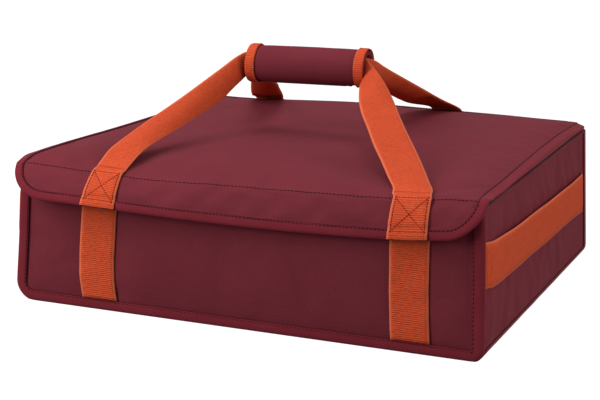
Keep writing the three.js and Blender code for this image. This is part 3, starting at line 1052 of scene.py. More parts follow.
def sheetFaces(rows, cells):
    # joins two grids of points, one over the other, and closes them round their edge
    wide, count = cells + 1, rows * (cells + 1)
    faces = []
    for r in range(rows - 1):
        for c in range(cells):
            a = r * wide + c
            faces.append((a, a + 1, a + wide + 1, a + wide))
            faces.append((count + a, count + a + wide, count + a + wide + 1, count + a + 1))
    rim = [r * wide for r in range(rows)]
    rim += [(rows - 1) * wide + c for c in range(1, wide)]
    rim += [r * wide + cells for r in range(rows - 2, -1, -1)]
    rim += list(range(cells - 1, 0, -1))
    return faces + [(a, b, count + b, count + a) for a, b in zip(rim, rim[1:] + rim[:1])]


def makeLidPad():
    p = lidSheet
    rows = sheetRows()
    cells = p["cells"]
    top, bottom, held = [], [], []
    for s in rows:
        half = rowHalf(s)
        seams = [0, 0.003, 0.006, p["stitchInset"], 0.014]
        inner = np.linspace(-half + 0.021, half - 0.021, cells + 1 - 2 * len(seams))
        xs = np.concatenate([[-half + e for e in seams], inner, [half - e for e in seams[::-1]]])
        for x in xs:
            place, out, thick = sheetPoint(x, s)
            gap = edgeGap(x, s)
            hold = 1.0 if gap < p["stitchInset"] + 0.0006 or abs(s - creaseAt) < 0.0012 else 0.0
            if s > creaseAt + 0.003 and hold == 0:
                hold = 0.12
            dent = sheetDents(x, s, place) * float(smooth(gap, 0.004, 0.02))
            top.append(place + out * dent)
            bottom.append(place - out * thick)
            held.append(hold)
    points = np.array(top + bottom)
    held = np.array(held + [1.0] * len(bottom))
    piece = makePiece("lidPad", points, sheetFaces(len(rows), cells), burgundyCloth)
    puffed(piece, held, p["cap"], p["pressure"], p["slack"])
    return subdivided(piece)


def overCrease(piece):
    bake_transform(piece)


lidPad = makeLidPad()
lidTree = treeOf(lidPad)
overCrease(lidPad)
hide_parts("lid_shell", "lid_foam", "flap_shell", "flap_lining")
print("lid and flap made:", len(lidPad.data.polygons), "faces")


def onSheet(x, s, lift=0.0):
    # a place on the finished sheet's outer face, after its padding has filled out
    place, out, thick = sheetPoint(x, s)
    hit = lidTree.ray_cast(Vector(place + out * 0.02), Vector(-out), 0.04)
    base = np.array(hit[0]) if hit[0] is not None else place
    return base + out * lift, out


def outlinePath(inset=0.0, straight=0.007):
    # round the sheet from the middle of its back edge: place across, place along, outward way
    p = lidSheet
    half = float(outlineHalf(0.0)) - inset
    corner = p["rearRadius"] - inset
    side = []
    for x in np.linspace(0, -(half - corner), int((half - corner) / straight)):
        side.append((x, inset, 0.0, -1.0))
    for a in np.radians(np.linspace(90, 180, 11))[1:]:
        s = p["rearRadius"] - corner * math.sin(a)
        wide = float(outlineHalf(s)) - p["rearRadius"]
        side.append((-wide + corner * math.cos(a), s, math.cos(a), -math.sin(a)))
    corner = p["flapRadius"] - inset
    for s in np.linspace(p["rearRadius"], sheetLength - p["flapRadius"],
                         int((sheetLength - 0.056) / straight))[1:]:
        side.append((-(float(outlineHalf(s)) - inset), s, -1.0, 0.0))
    for a in np.radians(np.linspace(180, 270, 15))[1:]:
        s = sheetLength - p["flapRadius"] - corner * math.sin(a)
        wide = float(outlineHalf(s)) - p["flapRadius"]
        side.append((-wide + corner * math.cos(a), s, math.cos(a), -math.sin(a)))
    wide = float(outlineHalf(sheetLength)) - p["flapRadius"]
    for x in np.linspace(-wide, 0, int(wide / straight))[1:]:
        side.append((x, sheetLength - inset, 0.0, 1.0))
    other = [(-x, s, -ox, os) for x, s, ox, os in side[-2:0:-1]]
    return side + other


lidBinding = {"width": 0.0082, "under": 0.0072, "tape": 0.0008, "rise": 0.0008}


def makeLidBinding():
    m = lidBinding
    path = outlinePath()
    sections, spine = [], []
    for x, s, ox, os in path:
        wave = 0.00025 * ripple((x, s, 0.0), 0.018)
        edge, out, thick = sheetPoint(x, s)
        inward = sheetPoint(x - ox * 0.003, s - os * 0.003)[0] - edge
        inward /= np.linalg.norm(inward)
        row = {}

        def at(a, b):
            place, way, pad = sheetPoint(x - ox * a, s - os * a)
            return place + way * b

        def under(a, b):
            place, way, pad = sheetPoint(x - ox * a, s - os * a)
            return place - way * (pad + b)

        rise, tape, width = m["rise"] + wave, m["tape"], m["width"] + 2 * wave
        outer = [at(width, 0.0002), at(width - 0.0005, rise), at(width * 0.66, rise * 1.1),
                 at(width * 0.33, rise), at(0.0012, rise * 0.8)]
        turn = [edge - inward * 0.0007 + out * 0.0001, edge - inward * 0.0012 - out * thick * 0.3,
                edge - inward * 0.0012 - out * thick * 0.7, edge - inward * 0.0007 - out * thick]
        outer += turn + [under(0.0014, 0.0007), under(m["under"], 0.0007)]
        inner = [at(width, -0.0004), at(width - 0.0006, -0.0002), at(width * 0.66, -0.0002),
                 at(width * 0.33, -0.0002), at(0.0018, -0.0002)]
        inner += [edge + inward * 0.0004 - out * 0.0004,
                  edge + inward * 0.0003 - out * thick * 0.3,
                  edge + inward * 0.0003 - out * thick * 0.7,
                  edge + inward * 0.0004 - out * (thick - 0.0004)]
        inner += [under(0.0018, -0.0002), under(m["under"], -0.0001)]
        sections.append(outer + inner[::-1])
        spine.append(edge)
    first = np.array(sections[0][: len(sections[0]) // 2])
    girth = list(pathLengths(first))
    piece = loft("lidBinding", sections, bindingTape, girth + girth[::-1],
                 pathLengths(spine, True), True)
    overCrease(piece)
    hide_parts("lid_binding", "flap_binding")


makeLidBinding()


def makeLidFoil():
    # the foil lining under the lid, with a soft crinkle
    rows = [s for s in sheetRows() if 0.004 < s < creaseAt - 0.016]
    cells = 46
    outer, inner = [], []
    for s in rows:
        half = rowHalf(s) - 0.006
        for x in np.linspace(-half, min(half, 0.2135), cells + 1):
            place, out, thick = sheetPoint(x, s)
            wave = abs(0.0004 * ripple((x, s, 0.7), 0.02))
            outer.append(place - out * (thick + 0.0011 - wave))
            inner.append(place - out * (thick - 0.0003))
    piece = makePiece("lidFoil", outer + inner, sheetFaces(len(rows), cells), foilLiner)
    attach(piece, "lid")
    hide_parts("lid_liner")


makeLidFoil()
print("lid binding and foil made")


# ---- webbing
def webbingSection(width, thickness, cuts=8):
    across = np.linspace(-0.5, 0.5, cuts + 1) * width
    edge = np.abs(across) > width / 2 - 1e-6
    upper = [(a, thickness * (0.72 if e else 1.0)) for a, e in zip(across, edge)]
    lower = [(a, thickness * (0.28 if e else 0.0)) for a, e in zip(across, edge)]
    return upper + lower[::-1]


def makeWebbing(name, rows, along, place, material=None, width=strapWidth, thickness=0.0018,
                cuts=8):
    # place(row, across) gives the point under the strap there and the way the strap faces
    section = webbingSection(width, thickness, cuts)
    sections = []
    for row in rows:
        line = []
        for a, b in section:
            point, out = place(row, a)
            line.append(np.asarray(point) + np.asarray(out) * b)
        sections.append(line)
    across = [a * strapWidth / width for a, b in section]
    return loft(name, sections, material or orangeWebbing, across, along)


probeFrom, probeReach = 0.26, 0.06  # a ray towards the box starts outside it and goes so far


def boxLevel(x, y, z, axis, sign, otherwise):
    # how far out the box's finished face stands along X or Y
    start, way = Vector((x, y, z)), Vector((0, 0, 0))
    start[axis], way[axis] = sign * probeFrom, -sign
    hit = boxTree.ray_cast(start, way, probeReach)[0]
    return abs(hit[axis]) if hit is not None else otherwise


def evened(levels):
    # the highest of a few neighbours, then their running mean
    widest = [max(levels[max(k - 2, 0): k + 3]) for k in range(len(levels))]
    return np.convolve(np.pad(widest, 3, "edge"), np.ones(7) / 7, "valid")


def endWallStrap(name, node, sign, run):
    # a strap laid on the front or back of the box; run gives its middle at some heights
    top = wallTop - (0.0045 if sign < 0 else 0.0005)
    heights = np.linspace(low(node).z - 0.0006, top, 34)

    def place(z, a):
        x = a + np.interp(z, [height for height, middle in run], [middle for height, middle in run])
        y = boxLevel(x, 0, z, 1, sign, faceY)
        level = max(y, faceY + 0.0002 + (frontSwell(z) if sign < 0 else 0))
        return np.array([x, sign * (level + 0.0002), z]), np.array([0, sign, 0])

    piece = makeWebbing(name, heights, heights, place)
    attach(piece, "box")
    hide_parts(node)


endWallStrap("frontStrapLeft", "front_strap_left", -1, [
    (0.008, -0.1402), (0.018, -0.1424), (0.03, -0.1440), (0.05, -0.1450), (0.09, -0.1434),
    (0.13, -0.141)])
endWallStrap("frontStrapRight", "front_strap_right", -1, [
    (0.008, 0.1648), (0.03, 0.1630), (0.055, 0.1610), (0.096, 0.1597), (0.13, 0.1600)])
endWallStrap("backStrapLeft", "back_strap_left", 1, [(0.0, -0.1590), (0.13, -0.1550)])
endWallStrap("backStrapRight", "back_strap_right", 1, [(0.0, 0.0612), (0.13, 0.0612)])

sideStrap = {
    "width": 0.0414,
    "lift": 0.0005,
    "sunk": 0.0014,  # how far its rear end lies in under the binding
    "middles": [(-0.229, 0.0868), (-0.215, 0.0842), (-0.196, 0.0830), (-0.15, 0.0813),
                (-0.105, 0.0799), (-0.05, 0.0792), (0.0, 0.0785), (0.05, 0.0779),
                (0.095, 0.0770), (0.146, 0.0758), (0.18, 0.0752), (0.205, 0.0750),
                (0.228, 0.0748)],
}


def makeSideStrap(name, node, sign):
    # the grab strap lies along the side between its two sewn ends
    m = sideStrap
    front, rear = low(node).y + 0.0006, faceY - endBinding["rearReturn"] + 0.0035
    ys = np.linspace(front, rear, 60)
    middles = np.interp(ys, [y for y, z in m["middles"]], [z for y, z in m["middles"]])
    middles = np.convolve(np.pad(middles, 2, "edge"), [0.15, 0.2, 0.3, 0.2, 0.15], "valid")
    levels = []
    for y, z in zip(ys, middles):
        most = 0.0
        for a in np.linspace(-0.5, 0.5, 7) * m["width"]:
            most = max(most, boxLevel(0, y, z + a, 0, sign, wallHalf(z + a, y, sign)))
        levels.append(most)
    levels = evened(levels)
    ends = np.array([wallHalf(z, y, sign) - m["lift"] - (m["sunk"] if y > 0 else 0.0004)
                     for y, z in zip(ys, middles)])
    tuck = np.maximum(smooth(-ys, -front - 0.016, -front - 0.003),
                      smooth(ys, rear - 0.024, rear - 0.004))
    levels = levels * (1 - tuck) + ends * tuck + m["lift"]

    def place(y, a):
        z = np.interp(y, ys, middles) + a
        drawn = wallHalf(np.interp(y, ys, middles), y, sign) - wallHalf(z, y, sign)
        share = float(smooth(np.abs(y), 0.12, 0.21))
        level = np.interp(y, ys, levels) - drawn * share
        return np.array([sign * level, y, z]), np.array([sign, 0, 0.03])

    piece = makeWebbing(name, ys, ys, place, width=m["width"])
    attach(piece, "box")
    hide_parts(node)


makeSideStrap("sideStrapLeft", "side_strap_left", -1)
makeSideStrap("sideStrapRight", "side_strap_right", 1)

patch = {
    "hem": 0.0050,  # the folded end, a little proud of the flap's edge
    "above": 0.0075,  # how far it goes on over the crease before the riser lifts off
}


def makePatch(name, node, middles, widths):
    # the strap's end, sewn down on the flap and folded under at the bottom
    start = creaseAt - patch["above"]
    rows = np.linspace(start, sheetLength + 0.0006, 30)

    def across(s, a):
        marks = (start, creaseAt, sheetLength)
        return np.interp(s, marks, middles) + a * np.interp(s, marks, widths) / strapWidth

    levels = []
    for s in rows:
        inside = min(s, sheetLength - 0.0015)
        most = 0.0
        for a in np.linspace(-0.5, 0.5, 9) * strapWidth:
            base, out = onSheet(across(s, a), inside)
            most = max(most, float((base - sheetPoint(across(s, a), inside)[0]).dot(out)))
        levels.append(most)
    levels = evened(levels)

    def place(s, a):
        point, out, thick = sheetPoint(across(s, a), min(s, sheetLength - 0.0015))
        raised = 0.0004 + 0.0009 * float(smooth(s, sheetLength - 0.0060, sheetLength - 0.0046))
        point = point + out * (np.interp(s, rows, levels) + raised)
        if s > sheetLength - 0.0015:
            down = np.array([0, out[2], -out[1]])
            down *= -1 if down[2] > 0 else 1
            point = point + down * (s - sheetLength + 0.0015)
        return point, out

    piece = makeWebbing(name, rows, rows, place, cuts=10)
    overCrease(piece)
    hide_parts(node)
    return place, start


patchLeft = makePatch("flapPatchLeft", "flap_patch_left", (-0.1338, -0.1344, -0.1362),
                      (0.0302, 0.0306, 0.0350))
patchRight = makePatch("flapPatchRight", "flap_patch_right", (0.1570, 0.1600, 0.1606),
                       (0.0356, 0.0342, 0.0362))
print("flat straps and patches made")


# ---- the four straps that rise to the grip
riser = {
    "thickness": 0.0018,
    "stations": 52,
    "mostFold": 0.0032,
}


def foldDepth(chord, full):
    # how far a strap bows out when its edges are this close together
    least, most = 0.0, full / 2
    turns = np.linspace(-math.pi / 2, math.pi / 2, 13)
    for attempt in range(16):
        middle = (least + most) / 2
        run = np.hypot(np.diff(chord * turns / math.pi), np.diff(middle * np.cos(turns))).sum()
        least, most = (middle, most) if run < full else (least, middle)
    return min(least, riser["mostFold"])


def makeRiser(name, node, joinRow, edges, anchorZ):
    # edges pairs places on the strap's left and right edge, from its foot to the grip's mouth
    line, length = curveThrough([tuple(a) + tuple(b) for a, b in edges], riser["stations"])
    shares = np.linspace(0, 1, len(line))
    centre = (line[:, :3] + line[:, 3:]) / 2
    ways = np.gradient(centre, axis=0)
    ways /= np.linalg.norm(ways, axis=1, keepdims=True)
    section = webbingSection(strapWidth, riser["thickness"], 10)
    sections = []
    for k, t in enumerate(shares):
        side = line[k, 3:] - line[k, :3]
        chord = np.linalg.norm(side)
        side /= chord
        out = np.cross(side, ways[k])
        out /= np.linalg.norm(out)
        fold = foldDepth(chord, strapWidth) * float(smooth(t, 0.05, 0.3))
        row = []
        for a, b in section:
            turn = a / strapWidth * math.pi
            facing = out + side * (fold * math.pi / chord * math.sin(turn))
            facing /= np.linalg.norm(facing)
            point = centre[k] + side * (a / strapWidth * chord) + out * fold * math.cos(turn)
            if joinRow is not None:
                base, way = joinRow(a)
                near = 1 - float(smooth(t, 0.0, 0.05))
                point = point * (1 - near) + base * near
                facing = facing * (1 - near) + way * near
                facing /= np.linalg.norm(facing)
            row.append(point + facing * b)
        sections.append(row)
    piece = loft(name, sections, orangeWebbing, [a for a, b in section],
                 pathLengths(centre))
    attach(piece, "lid")
    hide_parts(node)
    drop = gripZ - anchorZ
    (drop - 0.045) / drop
    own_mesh(piece)


def frontRiser(name, node, patchData, edges):
    place, start = patchData
    half = strapWidth / 2
    feet = [(place(start, -half)[0], place(start, half)[0])]
    feet.append((place(start - 0.005, -half)[0] + [0, 0, 0.0012],
                 place(start - 0.005, half)[0] + [0, 0, 0.0012]))
    makeRiser(name, node, lambda a: place(start, a), feet + edges, creaseZ)


def rearRiser(name, node, middle, edges):
    y, z = faceY + 0.0033, low(node).z
    top = lidTopZ + lidCrown(middle, 0.23)
    feet = []
    places = ((y, z + 0.0002), (y, (z + top) / 2), (y, top - 0.0015), (y - 0.0065, top + 0.0026))
    for back, up in places:
        feet.append(((middle - strapWidth / 2, back, up), (middle + strapWidth / 2, back, up)))
    makeRiser(name, node, None, feet + edges, z + 0.9 * rimLift(middle, faceY))


frontRiser("frontRiserLeft", "front_riser_left", patchLeft, [
    ((-0.1454, -0.2060, 0.1490), (-0.1157, -0.1980, 0.1483)),
    ((-0.1380, -0.1790, 0.1606), (-0.1123, -0.1710, 0.1555)),
    ((-0.1301, -0.1520, 0.1716), (-0.1081, -0.1440, 0.1614)),
    ((-0.1175, -0.1110, 0.1880), (-0.1007, -0.1030, 0.1724)),
    ((-0.1045, -0.0730, 0.2057), (-0.0934, -0.0660, 0.1832)),
    ((-0.0977, -0.0540, 0.2147), (-0.0897, -0.0480, 0.1924)),
    ((-0.0902, -0.0360, 0.2242), (-0.0863, -0.0330, 0.1999)),
    ((-0.0843, -0.0240, 0.2285), (-0.0834, -0.0230, 0.2047)),
    ((-0.0770, -0.0210, 0.2290), (-0.0770, -0.0210, 0.2060))])
frontRiser("frontRiserRight", "front_riser_right", patchRight, [
    ((0.1283, -0.2030, 0.1494), (0.1650, -0.1970, 0.1470)),
    ((0.1135, -0.1800, 0.1596), (0.1505, -0.1690, 0.1550)),
    ((0.0985, -0.1570, 0.1693), (0.1345, -0.1430, 0.1660)),
    ((0.0849, -0.1340, 0.1792), (0.1195, -0.1200, 0.1761)),
    ((0.0694, -0.1080, 0.1900), (0.1033, -0.0940, 0.1874)),
    ((0.0607, -0.0890, 0.1974), (0.0926, -0.0760, 0.1951)),
    ((0.0518, -0.0620, 0.2052), (0.0766, -0.0520, 0.2069)),
    ((0.0475, -0.0450, 0.2075), (0.0651, -0.0380, 0.2152)),
    ((0.0450, -0.0310, 0.2075), (0.0533, -0.0270, 0.2236)),
    ((0.0420, -0.0230, 0.2085), (0.0445, -0.0220, 0.2310)),
    ((0.0350, -0.0210, 0.2090), (0.0370, -0.0210, 0.2310))])
rearRiser("rearRiserLeft", "rear_riser_left", -0.1550, [
    ((-0.1623, 0.1900, 0.1525), (-0.1265, 0.1980, 0.1530)),
    ((-0.1397, 0.1300, 0.1712), (-0.1085, 0.1380, 0.1707)),
    ((-0.1195, 0.0800, 0.1860), (-0.0932, 0.0880, 0.1839)),
    ((-0.1047, 0.0400, 0.2014), (-0.0867, 0.0460, 0.1919)),
    ((-0.0957, 0.0100, 0.2158), (-0.0854, 0.0140, 0.1970)),
    ((-0.0855, -0.0130, 0.2262), (-0.0842, -0.0130, 0.2030)),
    ((-0.0770, -0.0170, 0.2280), (-0.0770, -0.0170, 0.2060))])
rearRiser("rearRiserRight", "rear_riser_right", 0.0612, [
    ((0.0350, 0.1600, 0.1642), (0.0710, 0.1680, 0.1698)),
    ((0.0327, 0.1000, 0.1803), (0.0621, 0.1080, 0.1900)),
    ((0.0340, 0.0500, 0.1922), (0.0558, 0.0600, 0.2057)),
    ((0.0390, 0.0050, 0.2010), (0.0508, 0.0140, 0.2203)),
    ((0.0425, -0.0120, 0.2070), (0.0465, -0.0100, 0.2290)),
    ((0.0350, -0.0170, 0.2090), (0.0370, -0.0170, 0.2315))])
print("risers made")


# ---- the grip
grip = {
    "padding": 0.0058,
    "bandThickness": 0.0011,
    "bandWidth": 0.0107,
    "tilt": 0.03,
    # where the peeled part of the wrap is joined, in degrees from the front over the top
    "join": 140,
    "mouth": 275,
    "lap": 14,
}


def roundGrip(angle, radius, x=None):
    # angles run from the front over the top
    a = math.radians(angle)
    x = (gripLeft + gripRight) / 2 if x is None else x
    middle = gripZ + grip["tilt"] * (x - (gripLeft + gripRight) / 2)
    return np.array([x, gripY - radius * math.cos(a), middle + radius * math.sin(a)])


def wrapPiece(name, start, end, x0, x1, inner, outer, material, crown, steps, cuts=16):
    xs = np.linspace(x0, x1, cuts + 1)
    rim = 0.0012
    xs[0], xs[-1] = x0 + rim * 0.2, x1 - rim * 0.2
    profile = []
    for x in xs:
        share = (2 * x - x0 - x1) / (x1 - x0)
        profile.append((x, outer + crown * (1 - share**4) - rim * abs(share) ** 24))
    lower = [(x, inner + (rim * 0.6 if k in (0, cuts) else 0)) for k, x in enumerate(xs)]
    section = profile + lower[::-1]
    angles = np.linspace(start, end, steps + 1)
    sections = []
    for angle in angles:
        row = []
        for k, (x, radius) in enumerate(section):
            soft = crown * 0.6 * ripple((x, math.cos(math.radians(angle)) * 0.02,
                                         math.sin(math.radians(angle)) * 0.02), 0.02)
            row.append(roundGrip(angle, radius + (soft if k <= cuts else 0), x))
        sections.append(row)
    across = [x - (x0 + x1) / 2 for x, radius in section]
    return loft(name, sections, material, across, np.radians(angles) * outer)


def ridesWing(piece):
    # takes the piece's place into its mesh; the wrap's hinge is found here but nothing is bent at
    # it
    hinge = roundGrip(150, gripRadius - grip["padding"])
    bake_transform(piece)


def makeGrip():
    g = grip
    inner, outer = gripRadius - g["padding"], gripRadius - 0.0004
    wrap = wrapPiece("gripWrap", g["mouth"] - 359.2, g["join"], gripLeft, gripRight, inner, outer,
                     burgundyCloth, 0.0006, 46)
    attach(wrap, "grip")
    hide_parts("grip_cover", "grip_padding")
    wing = wrapPiece("gripWing", g["join"], g["mouth"] - 0.6, gripLeft, gripRight, inner, outer,
                     burgundyCloth, 0.0006, 28)
    ridesWing(wing)
    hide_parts("wing_cover", "wing_padding")
    bandIn = gripRadius + 0.0002
    bandOut = bandIn + g["bandThickness"]
    for side, x0 in (("left", gripLeft - 0.0004), ("right", gripRight - g["bandWidth"] + 0.0004)):
        name = side.capitalize()
        band = wrapPiece(f"gripBand{name}", g["mouth"] - 359, g["join"], x0, x0 + g["bandWidth"],
                         bandIn, bandOut, orangeWebbing, 0.0003, 46, 6)
        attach(band, "grip")
        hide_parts(f"grip_band_{side}")
        band = wrapPiece(f"wingBand{name}", g["join"], g["mouth"] - 1, x0, x0 + g["bandWidth"],
                         bandIn, bandOut, orangeWebbing, 0.0003, 28, 6)
        ridesWing(band)
        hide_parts(f"wing_band_{side}")
    x0, x1 = low("wing_hook_tape").x, high("wing_hook_tape").x
    tape = wrapPiece("wingHookTape", g["mouth"] - g["lap"], g["mouth"] + g["lap"], x0, x1,
                     bandIn, bandOut - 0.0003, blackPile, 0.0, 10)
    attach(tape, "grip_wing")
    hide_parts("wing_hook_tape")
    for part, sign in (("front", -1), ("rear", 1)):
        node = f"grip_webbing_{part}"
        xs = np.linspace(gripLeft + 0.001, gripRight - 0.001, 26)
        middle = (low(node).y + high(node).y) / 2

        def place(x, a, sign=sign, middle=middle):
            # folded lengthwise into a shallow trough
            share = a / 0.0096
            level = roundGrip(0, 0, x)[2]
            spread = 0.0012 + 0.0036 * math.sin(math.pi * (x - gripLeft) / (gripRight - gripLeft))
            return (np.array([x, middle + sign * spread * (1 - share**2) - 0.0009, level + a]),
                    np.array([0.0, 1.0, 0.0]))

        core = makeWebbing(node.replace("_", " ").title().replace(" ", ""), xs, xs, place,
                           width=0.0192)
        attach(core, "grip")
        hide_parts(node)


makeGrip()
print("grip made")


# ---- hook and loop tape on the front of the box and under the flap
def makeFrontHookTape():
    node = "hook_tape"
    heights = np.linspace(low(node).z, high(node).z, 7)
    width = high(node).x - low(node).x
    middle = (low(node).x + high(node).x) / 2

    def place(z, a):
        y = -boxLevel(middle + a, 0, z, 1, -1, faceY)
        return np.array([middle + a, min(y, -faceY) - 0.0001, z]), np.array([0, -1.0, 0])

    piece = makeWebbing("hookTape", heights, heights, place, blackPile, width, 0.0011, 40)
    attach(piece, "box")
    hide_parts(node)


makeFrontHookTape()


def makeLoopTape():
    node = "loop_tape"
    width = high(node).x - low(node).x
    middle = (low(node).x + high(node).x) / 2
    rows = np.linspace(sheetLength - 0.0235, sheetLength - 0.0095, 7)

    def place(s, a):
        point, out, thick = sheetPoint(middle + a, s)
        return point - out * (thick + 0.0001), -out

    piece = makeWebbing("loopTape", rows, rows, place, blackPile, width, 0.0011, 40)
    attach(piece, "flap")
    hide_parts(node)


makeLoopTape()


# ---- stitches
def stitchTree():
    tree = bpy.data.node_groups.new("stitchRun", "GeometryNodeTree")
    face = tree.interface
    face.new_socket("Geometry", in_out="INPUT", socket_type="NodeSocketGeometry")
    inputs = {}
    for label, value in (("Pitch", 0.004), ("Stitch Length", 0.0028), ("Thread", 0.0007)):
        made = face.new_socket(label, in_out="INPUT", socket_type="NodeSocketFloat")
        made.default_value = value
        inputs[label] = made.identifier
    made = face.new_socket("Thread Finish", in_out="INPUT", socket_type="NodeSocketMaterial")
    inputs["Thread Finish"] = made.identifier
    face.new_socket("Geometry", in_out="OUTPUT", socket_type="NodeSocketGeometry")
    nodes, links = tree.nodes, tree.links
    given = nodes.new("NodeGroupInput")
    result = nodes.new("NodeGroupOutput")
    curve = nodes.new("GeometryNodeMeshToCurve")
    even = nodes.new("GeometryNodeResampleCurve")
    even.mode = "LENGTH"
    bead = nodes.new("GeometryNodeMeshUVSphere")
    bead.inputs["Segments"].default_value = 6
    bead.inputs["Rings"].default_value = 4
    bead.inputs["Radius"].default_value = 0.5
    size = nodes.new("ShaderNodeCombineXYZ")
    shape = nodes.new("GeometryNodeTransform")
    tangent = nodes.new("GeometryNodeInputTangent")
    align = nodes.new("FunctionNodeAlignRotationToVector")
    align.axis = "Z"
    place = nodes.new("GeometryNodeInstanceOnPoints")
    real = nodes.new("GeometryNodeRealizeInstances")
    soft = nodes.new("GeometryNodeSetShadeSmooth")
    coat = nodes.new("GeometryNodeSetMaterial")
    links.new(given.outputs["Geometry"], curve.inputs[0])
    links.new(curve.outputs[0], even.inputs["Curve"])
    links.new(given.outputs["Pitch"], even.inputs["Length"])
    links.new(given.outputs["Thread"], size.inputs["X"])
    links.new(given.outputs["Thread"], size.inputs["Y"])
    links.new(given.outputs["Stitch Length"], size.inputs["Z"])
    links.new(bead.outputs["Mesh"], shape.inputs["Geometry"])
    links.new(size.outputs[0], shape.inputs["Scale"])
    links.new(tangent.outputs[0], align.inputs["Vector"])
    links.new(even.outputs[0], place.inputs["Points"])
    links.new(shape.outputs[0], place.inputs["Instance"])
    links.new(align.outputs[0], place.inputs["Rotation"])
    links.new(place.outputs[0], real.inputs[0])
    links.new(real.outputs[0], soft.inputs[0])
    links.new(soft.outputs[0], coat.inputs["Geometry"])
    links.new(given.outputs["Thread Finish"], coat.inputs["Material"])
    links.new(coat.outputs[0], result.inputs[0])
    return tree, inputs


stitchNodes, stitchInputs = stitchTree()


def sew(name, runs, finish, pitch=0.004, length=0.0029, thread=0.0007):
    # runs are lists of points on a finished surface
    points, edges = [], []
    for run in runs:
        first = len(points)
        points += [tuple(map(float, p)) for p in run]
        edges += [(first + i, first + i + 1) for i in range(len(run) - 1)]
    mesh = bpy.data.meshes.new(name)
    mesh.from_pydata(points, edges, [])
    piece = bpy.data.objects.new(name, mesh)
    scene.collection.objects.link(piece)
    sewn = piece.modifiers.new("stitches", "NODES")
    sewn.node_group = stitchNodes
    sewn[stitchInputs["Pitch"]] = pitch
    sewn[stitchInputs["Stitch Length"]] = length
    sewn[stitchInputs["Thread"]] = thread
    sewn[stitchInputs["Thread Finish"]] = finish
    return finalMesh(piece)


lidRuns = []
bindingLine = [onSheet(x, s, 0.0011)[0]
               for x, s, ox, os in outlinePath(lidBinding["width"] - 0.0013)]
lidRuns.append(bindingLine + bindingLine[:1])
creaseHalf = float(outlineHalf(creaseAt)) - 0.0105
lidRuns.append([onSheet(x, creaseAt, 0.0001)[0] for x in np.linspace(-creaseHalf, creaseHalf, 160)])
stitches = sew("lidStitches", lidRuns, darkThread, 0.0036, 0.0031, 0.0010)
overCrease(stitches)

for name, (place, start) in (("patchStitchesLeft", patchLeft), ("patchStitchesRight", patchRight)):
    half = strapWidth / 2 - 0.0028
    s0, s1 = creaseAt + 0.0004, sheetLength - patch["hem"] - 0.0012

    def on(s, a):
        point, out = place(s, a)
        return point + out * 0.00205

    def run(first, second, count=20):
        return [on(first[0] + (second[0] - first[0]) * t, first[1] + (second[1] - first[1]) * t)
                for t in np.linspace(0, 1, count)]

    corners = [(s0, -half), (s0, half), (s1, half), (s1, -half)]
    runs = [run(a, b) for a, b in zip(corners, corners[1:] + corners[:1])]
    runs += [run(corners[0], corners[2]), run(corners[1], corners[3])]
    stitches = sew(name, runs, rustThread, 0.0027, 0.0024, 0.0007)
    overCrease(stitches)

boxRuns = []
for sign in (-1, 1):
    ring = []
    for x, z, ox, oz in endPath(sign):
        a = endBinding["width"] - 0.0014
        level = faceY + endBinding["rise"] + 0.0001 + (frontSwell(z - oz * a) if sign < 0 else 0)
        ring.append((x - ox * a, sign * level, z - oz * a))
    boxRuns.append(ring)
stitches = sew("endStitches", boxRuns, darkThread)
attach(stitches, "box")

bandRuns = []
for x in (gripLeft + grip["bandWidth"] - 0.0018, gripRight - grip["bandWidth"] + 0.0018):
    ring = []
    for angle in np.linspace(-80, grip["join"], 60):
        ring.append(roundGrip(angle, gripRadius + grip["bandThickness"] + 0.0005, x))
    bandRuns.append(ring)
stitches = sew("bandStitches", bandRuns, paleThread, 0.0026, 0.0019, 0.0007)
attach(stitches, "grip")
print("stitches sewn")


# ---- stage, light and camera
def makeStage():
    half = 6.0
    mesh = bpy.data.meshes.new("floor")
    mesh.from_pydata([(-half, -half, 0), (half, -half, 0), (half, half, 0), (-half, half, 0)],
                     [], [(0, 1, 2, 3)])
    floor = bpy.data.objects.new("floor", mesh)
    scene.collection.objects.link(floor)
    plain = Finish("floorWhite", Roughness=0.9)
    plain.shader.inputs["Base Color"].default_value = (0.14, 0.14, 0.14, 1)
    plain.shader.inputs["Specular IOR Level"].default_value = 0.0
    rays = [plain.node("ShaderNodeLightPath", {}, {}, ray) for ray in (
        "Is Camera Ray", "Is Glossy Ray", "Is Transmission Ray")]
    seen = plain.sum("MAXIMUM", plain.sum("MAXIMUM", rays[0], rays[1]), rays[2])
    glow = plain.node("ShaderNodeEmission", {}, {"Color": (1, 1, 1, 1), "Strength": 1.0})
    both = plain.tree.nodes.new("ShaderNodeAddShader")
    plain.tree.links.new(plain.shader.outputs[0], both.inputs[0])
    plain.tree.links.new(glow.socket, both.inputs[1])
    mix = plain.tree.nodes.new("ShaderNodeMixShader")
    plain.tree.links.new(seen.socket, mix.inputs[0])
    plain.tree.links.new(plain.shader.outputs[0], mix.inputs[1])
    plain.tree.links.new(both.outputs[0], mix.inputs[2])
    plain.tree.links.new(mix.outputs[0], plain.tree.nodes["Material Output"].inputs[0])
    mesh.materials.append(plain.material)


makeStage()

light = {
    "sky": 0.26,
    "lamps": {  # watts, size and place
        "keyLight": (11.0, 0.8, (-1.0, -1.0, 1.2)),
        "frontLight": (13.4, 0.7, (-1.1, -1.5, 0.6)),
        "topLight": (15.5, 1.2, (-0.25, 0.15, 2.2)),
        "fillLight": (17.0, 1.2, (2.0, -0.3, 0.95)),
    },
}


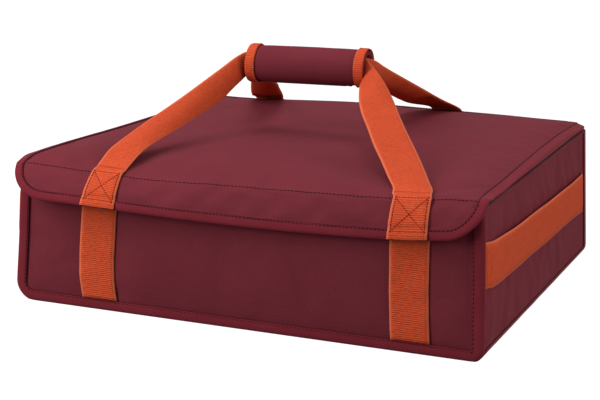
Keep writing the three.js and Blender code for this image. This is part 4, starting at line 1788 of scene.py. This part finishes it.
def makeWorld():
    world = bpy.data.worlds.new("room")
    world.use_nodes = True
    scene.world = world
    tree = world.node_tree
    back = tree.nodes["Background"]
    back.inputs[0].default_value = (1, 1, 1, 1)
    rays = tree.nodes.new("ShaderNodeLightPath")
    mix = tree.nodes.new("ShaderNodeMix")
    mix.inputs[2].default_value = light["sky"]
    mix.inputs[3].default_value = 1.0
    seen = tree.nodes.new("ShaderNodeMath")
    seen.operation = "MAXIMUM"
    also = tree.nodes.new("ShaderNodeMath")
    also.operation = "MAXIMUM"
    tree.links.new(rays.outputs["Is Camera Ray"], seen.inputs[0])
    tree.links.new(rays.outputs["Is Glossy Ray"], seen.inputs[1])
    tree.links.new(seen.outputs[0], also.inputs[0])
    tree.links.new(rays.outputs["Is Transmission Ray"], also.inputs[1])
    tree.links.new(also.outputs[0], mix.inputs[0])
    tree.links.new(mix.outputs[0], back.inputs[1])
    for name, (energy, size, place) in light["lamps"].items():
        lamp = bpy.data.lights.new(name, "AREA")
        lamp.energy, lamp.size = energy, size
        holder = bpy.data.objects.new(name, lamp)
        holder.location = place
        aim = Vector((0, 0, 0.08)) - Vector(place)
        holder.rotation_mode = "QUATERNION"
        holder.rotation_quaternion = aim.to_track_quat("-Z", "Y")
        scene.collection.objects.link(holder)


makeWorld()

photoCamera = {
    "place": (0.5551, -1.5898, 0.4295),
    "azimuth": 20.163,
    "elevation": 11.808,
    "roll": 2.052,
    "focalPixels": 1661.08,
    "pixelsWide": 600,
    "sensor": 36.0,
}


def makeCamera():
    c = photoCamera
    a, e, r = (math.radians(c[k]) for k in ("azimuth", "elevation", "roll"))
    back = Vector((math.sin(a) * math.cos(e), -math.cos(a) * math.cos(e), math.sin(e)))
    right = (-back).cross(Vector((0, 0, 1))).normalized()
    up = right.cross(-back)
    right, up = right * math.cos(r) + up * math.sin(r), up * math.cos(r) - right * math.sin(r)
    lens = bpy.data.cameras.new("photoCamera")
    lens.sensor_width = c["sensor"]
    lens.lens = c["focalPixels"] / c["pixelsWide"] * c["sensor"]
    camera = bpy.data.objects.new("photoCamera", lens)
    turned = Matrix((right, up, back)).transposed().to_4x4()
    camera.matrix_world = Matrix.Translation(c["place"]) @ turned
    scene.collection.objects.link(camera)
    scene.camera = camera


makeCamera()
scene.view_settings.view_transform = "Standard"
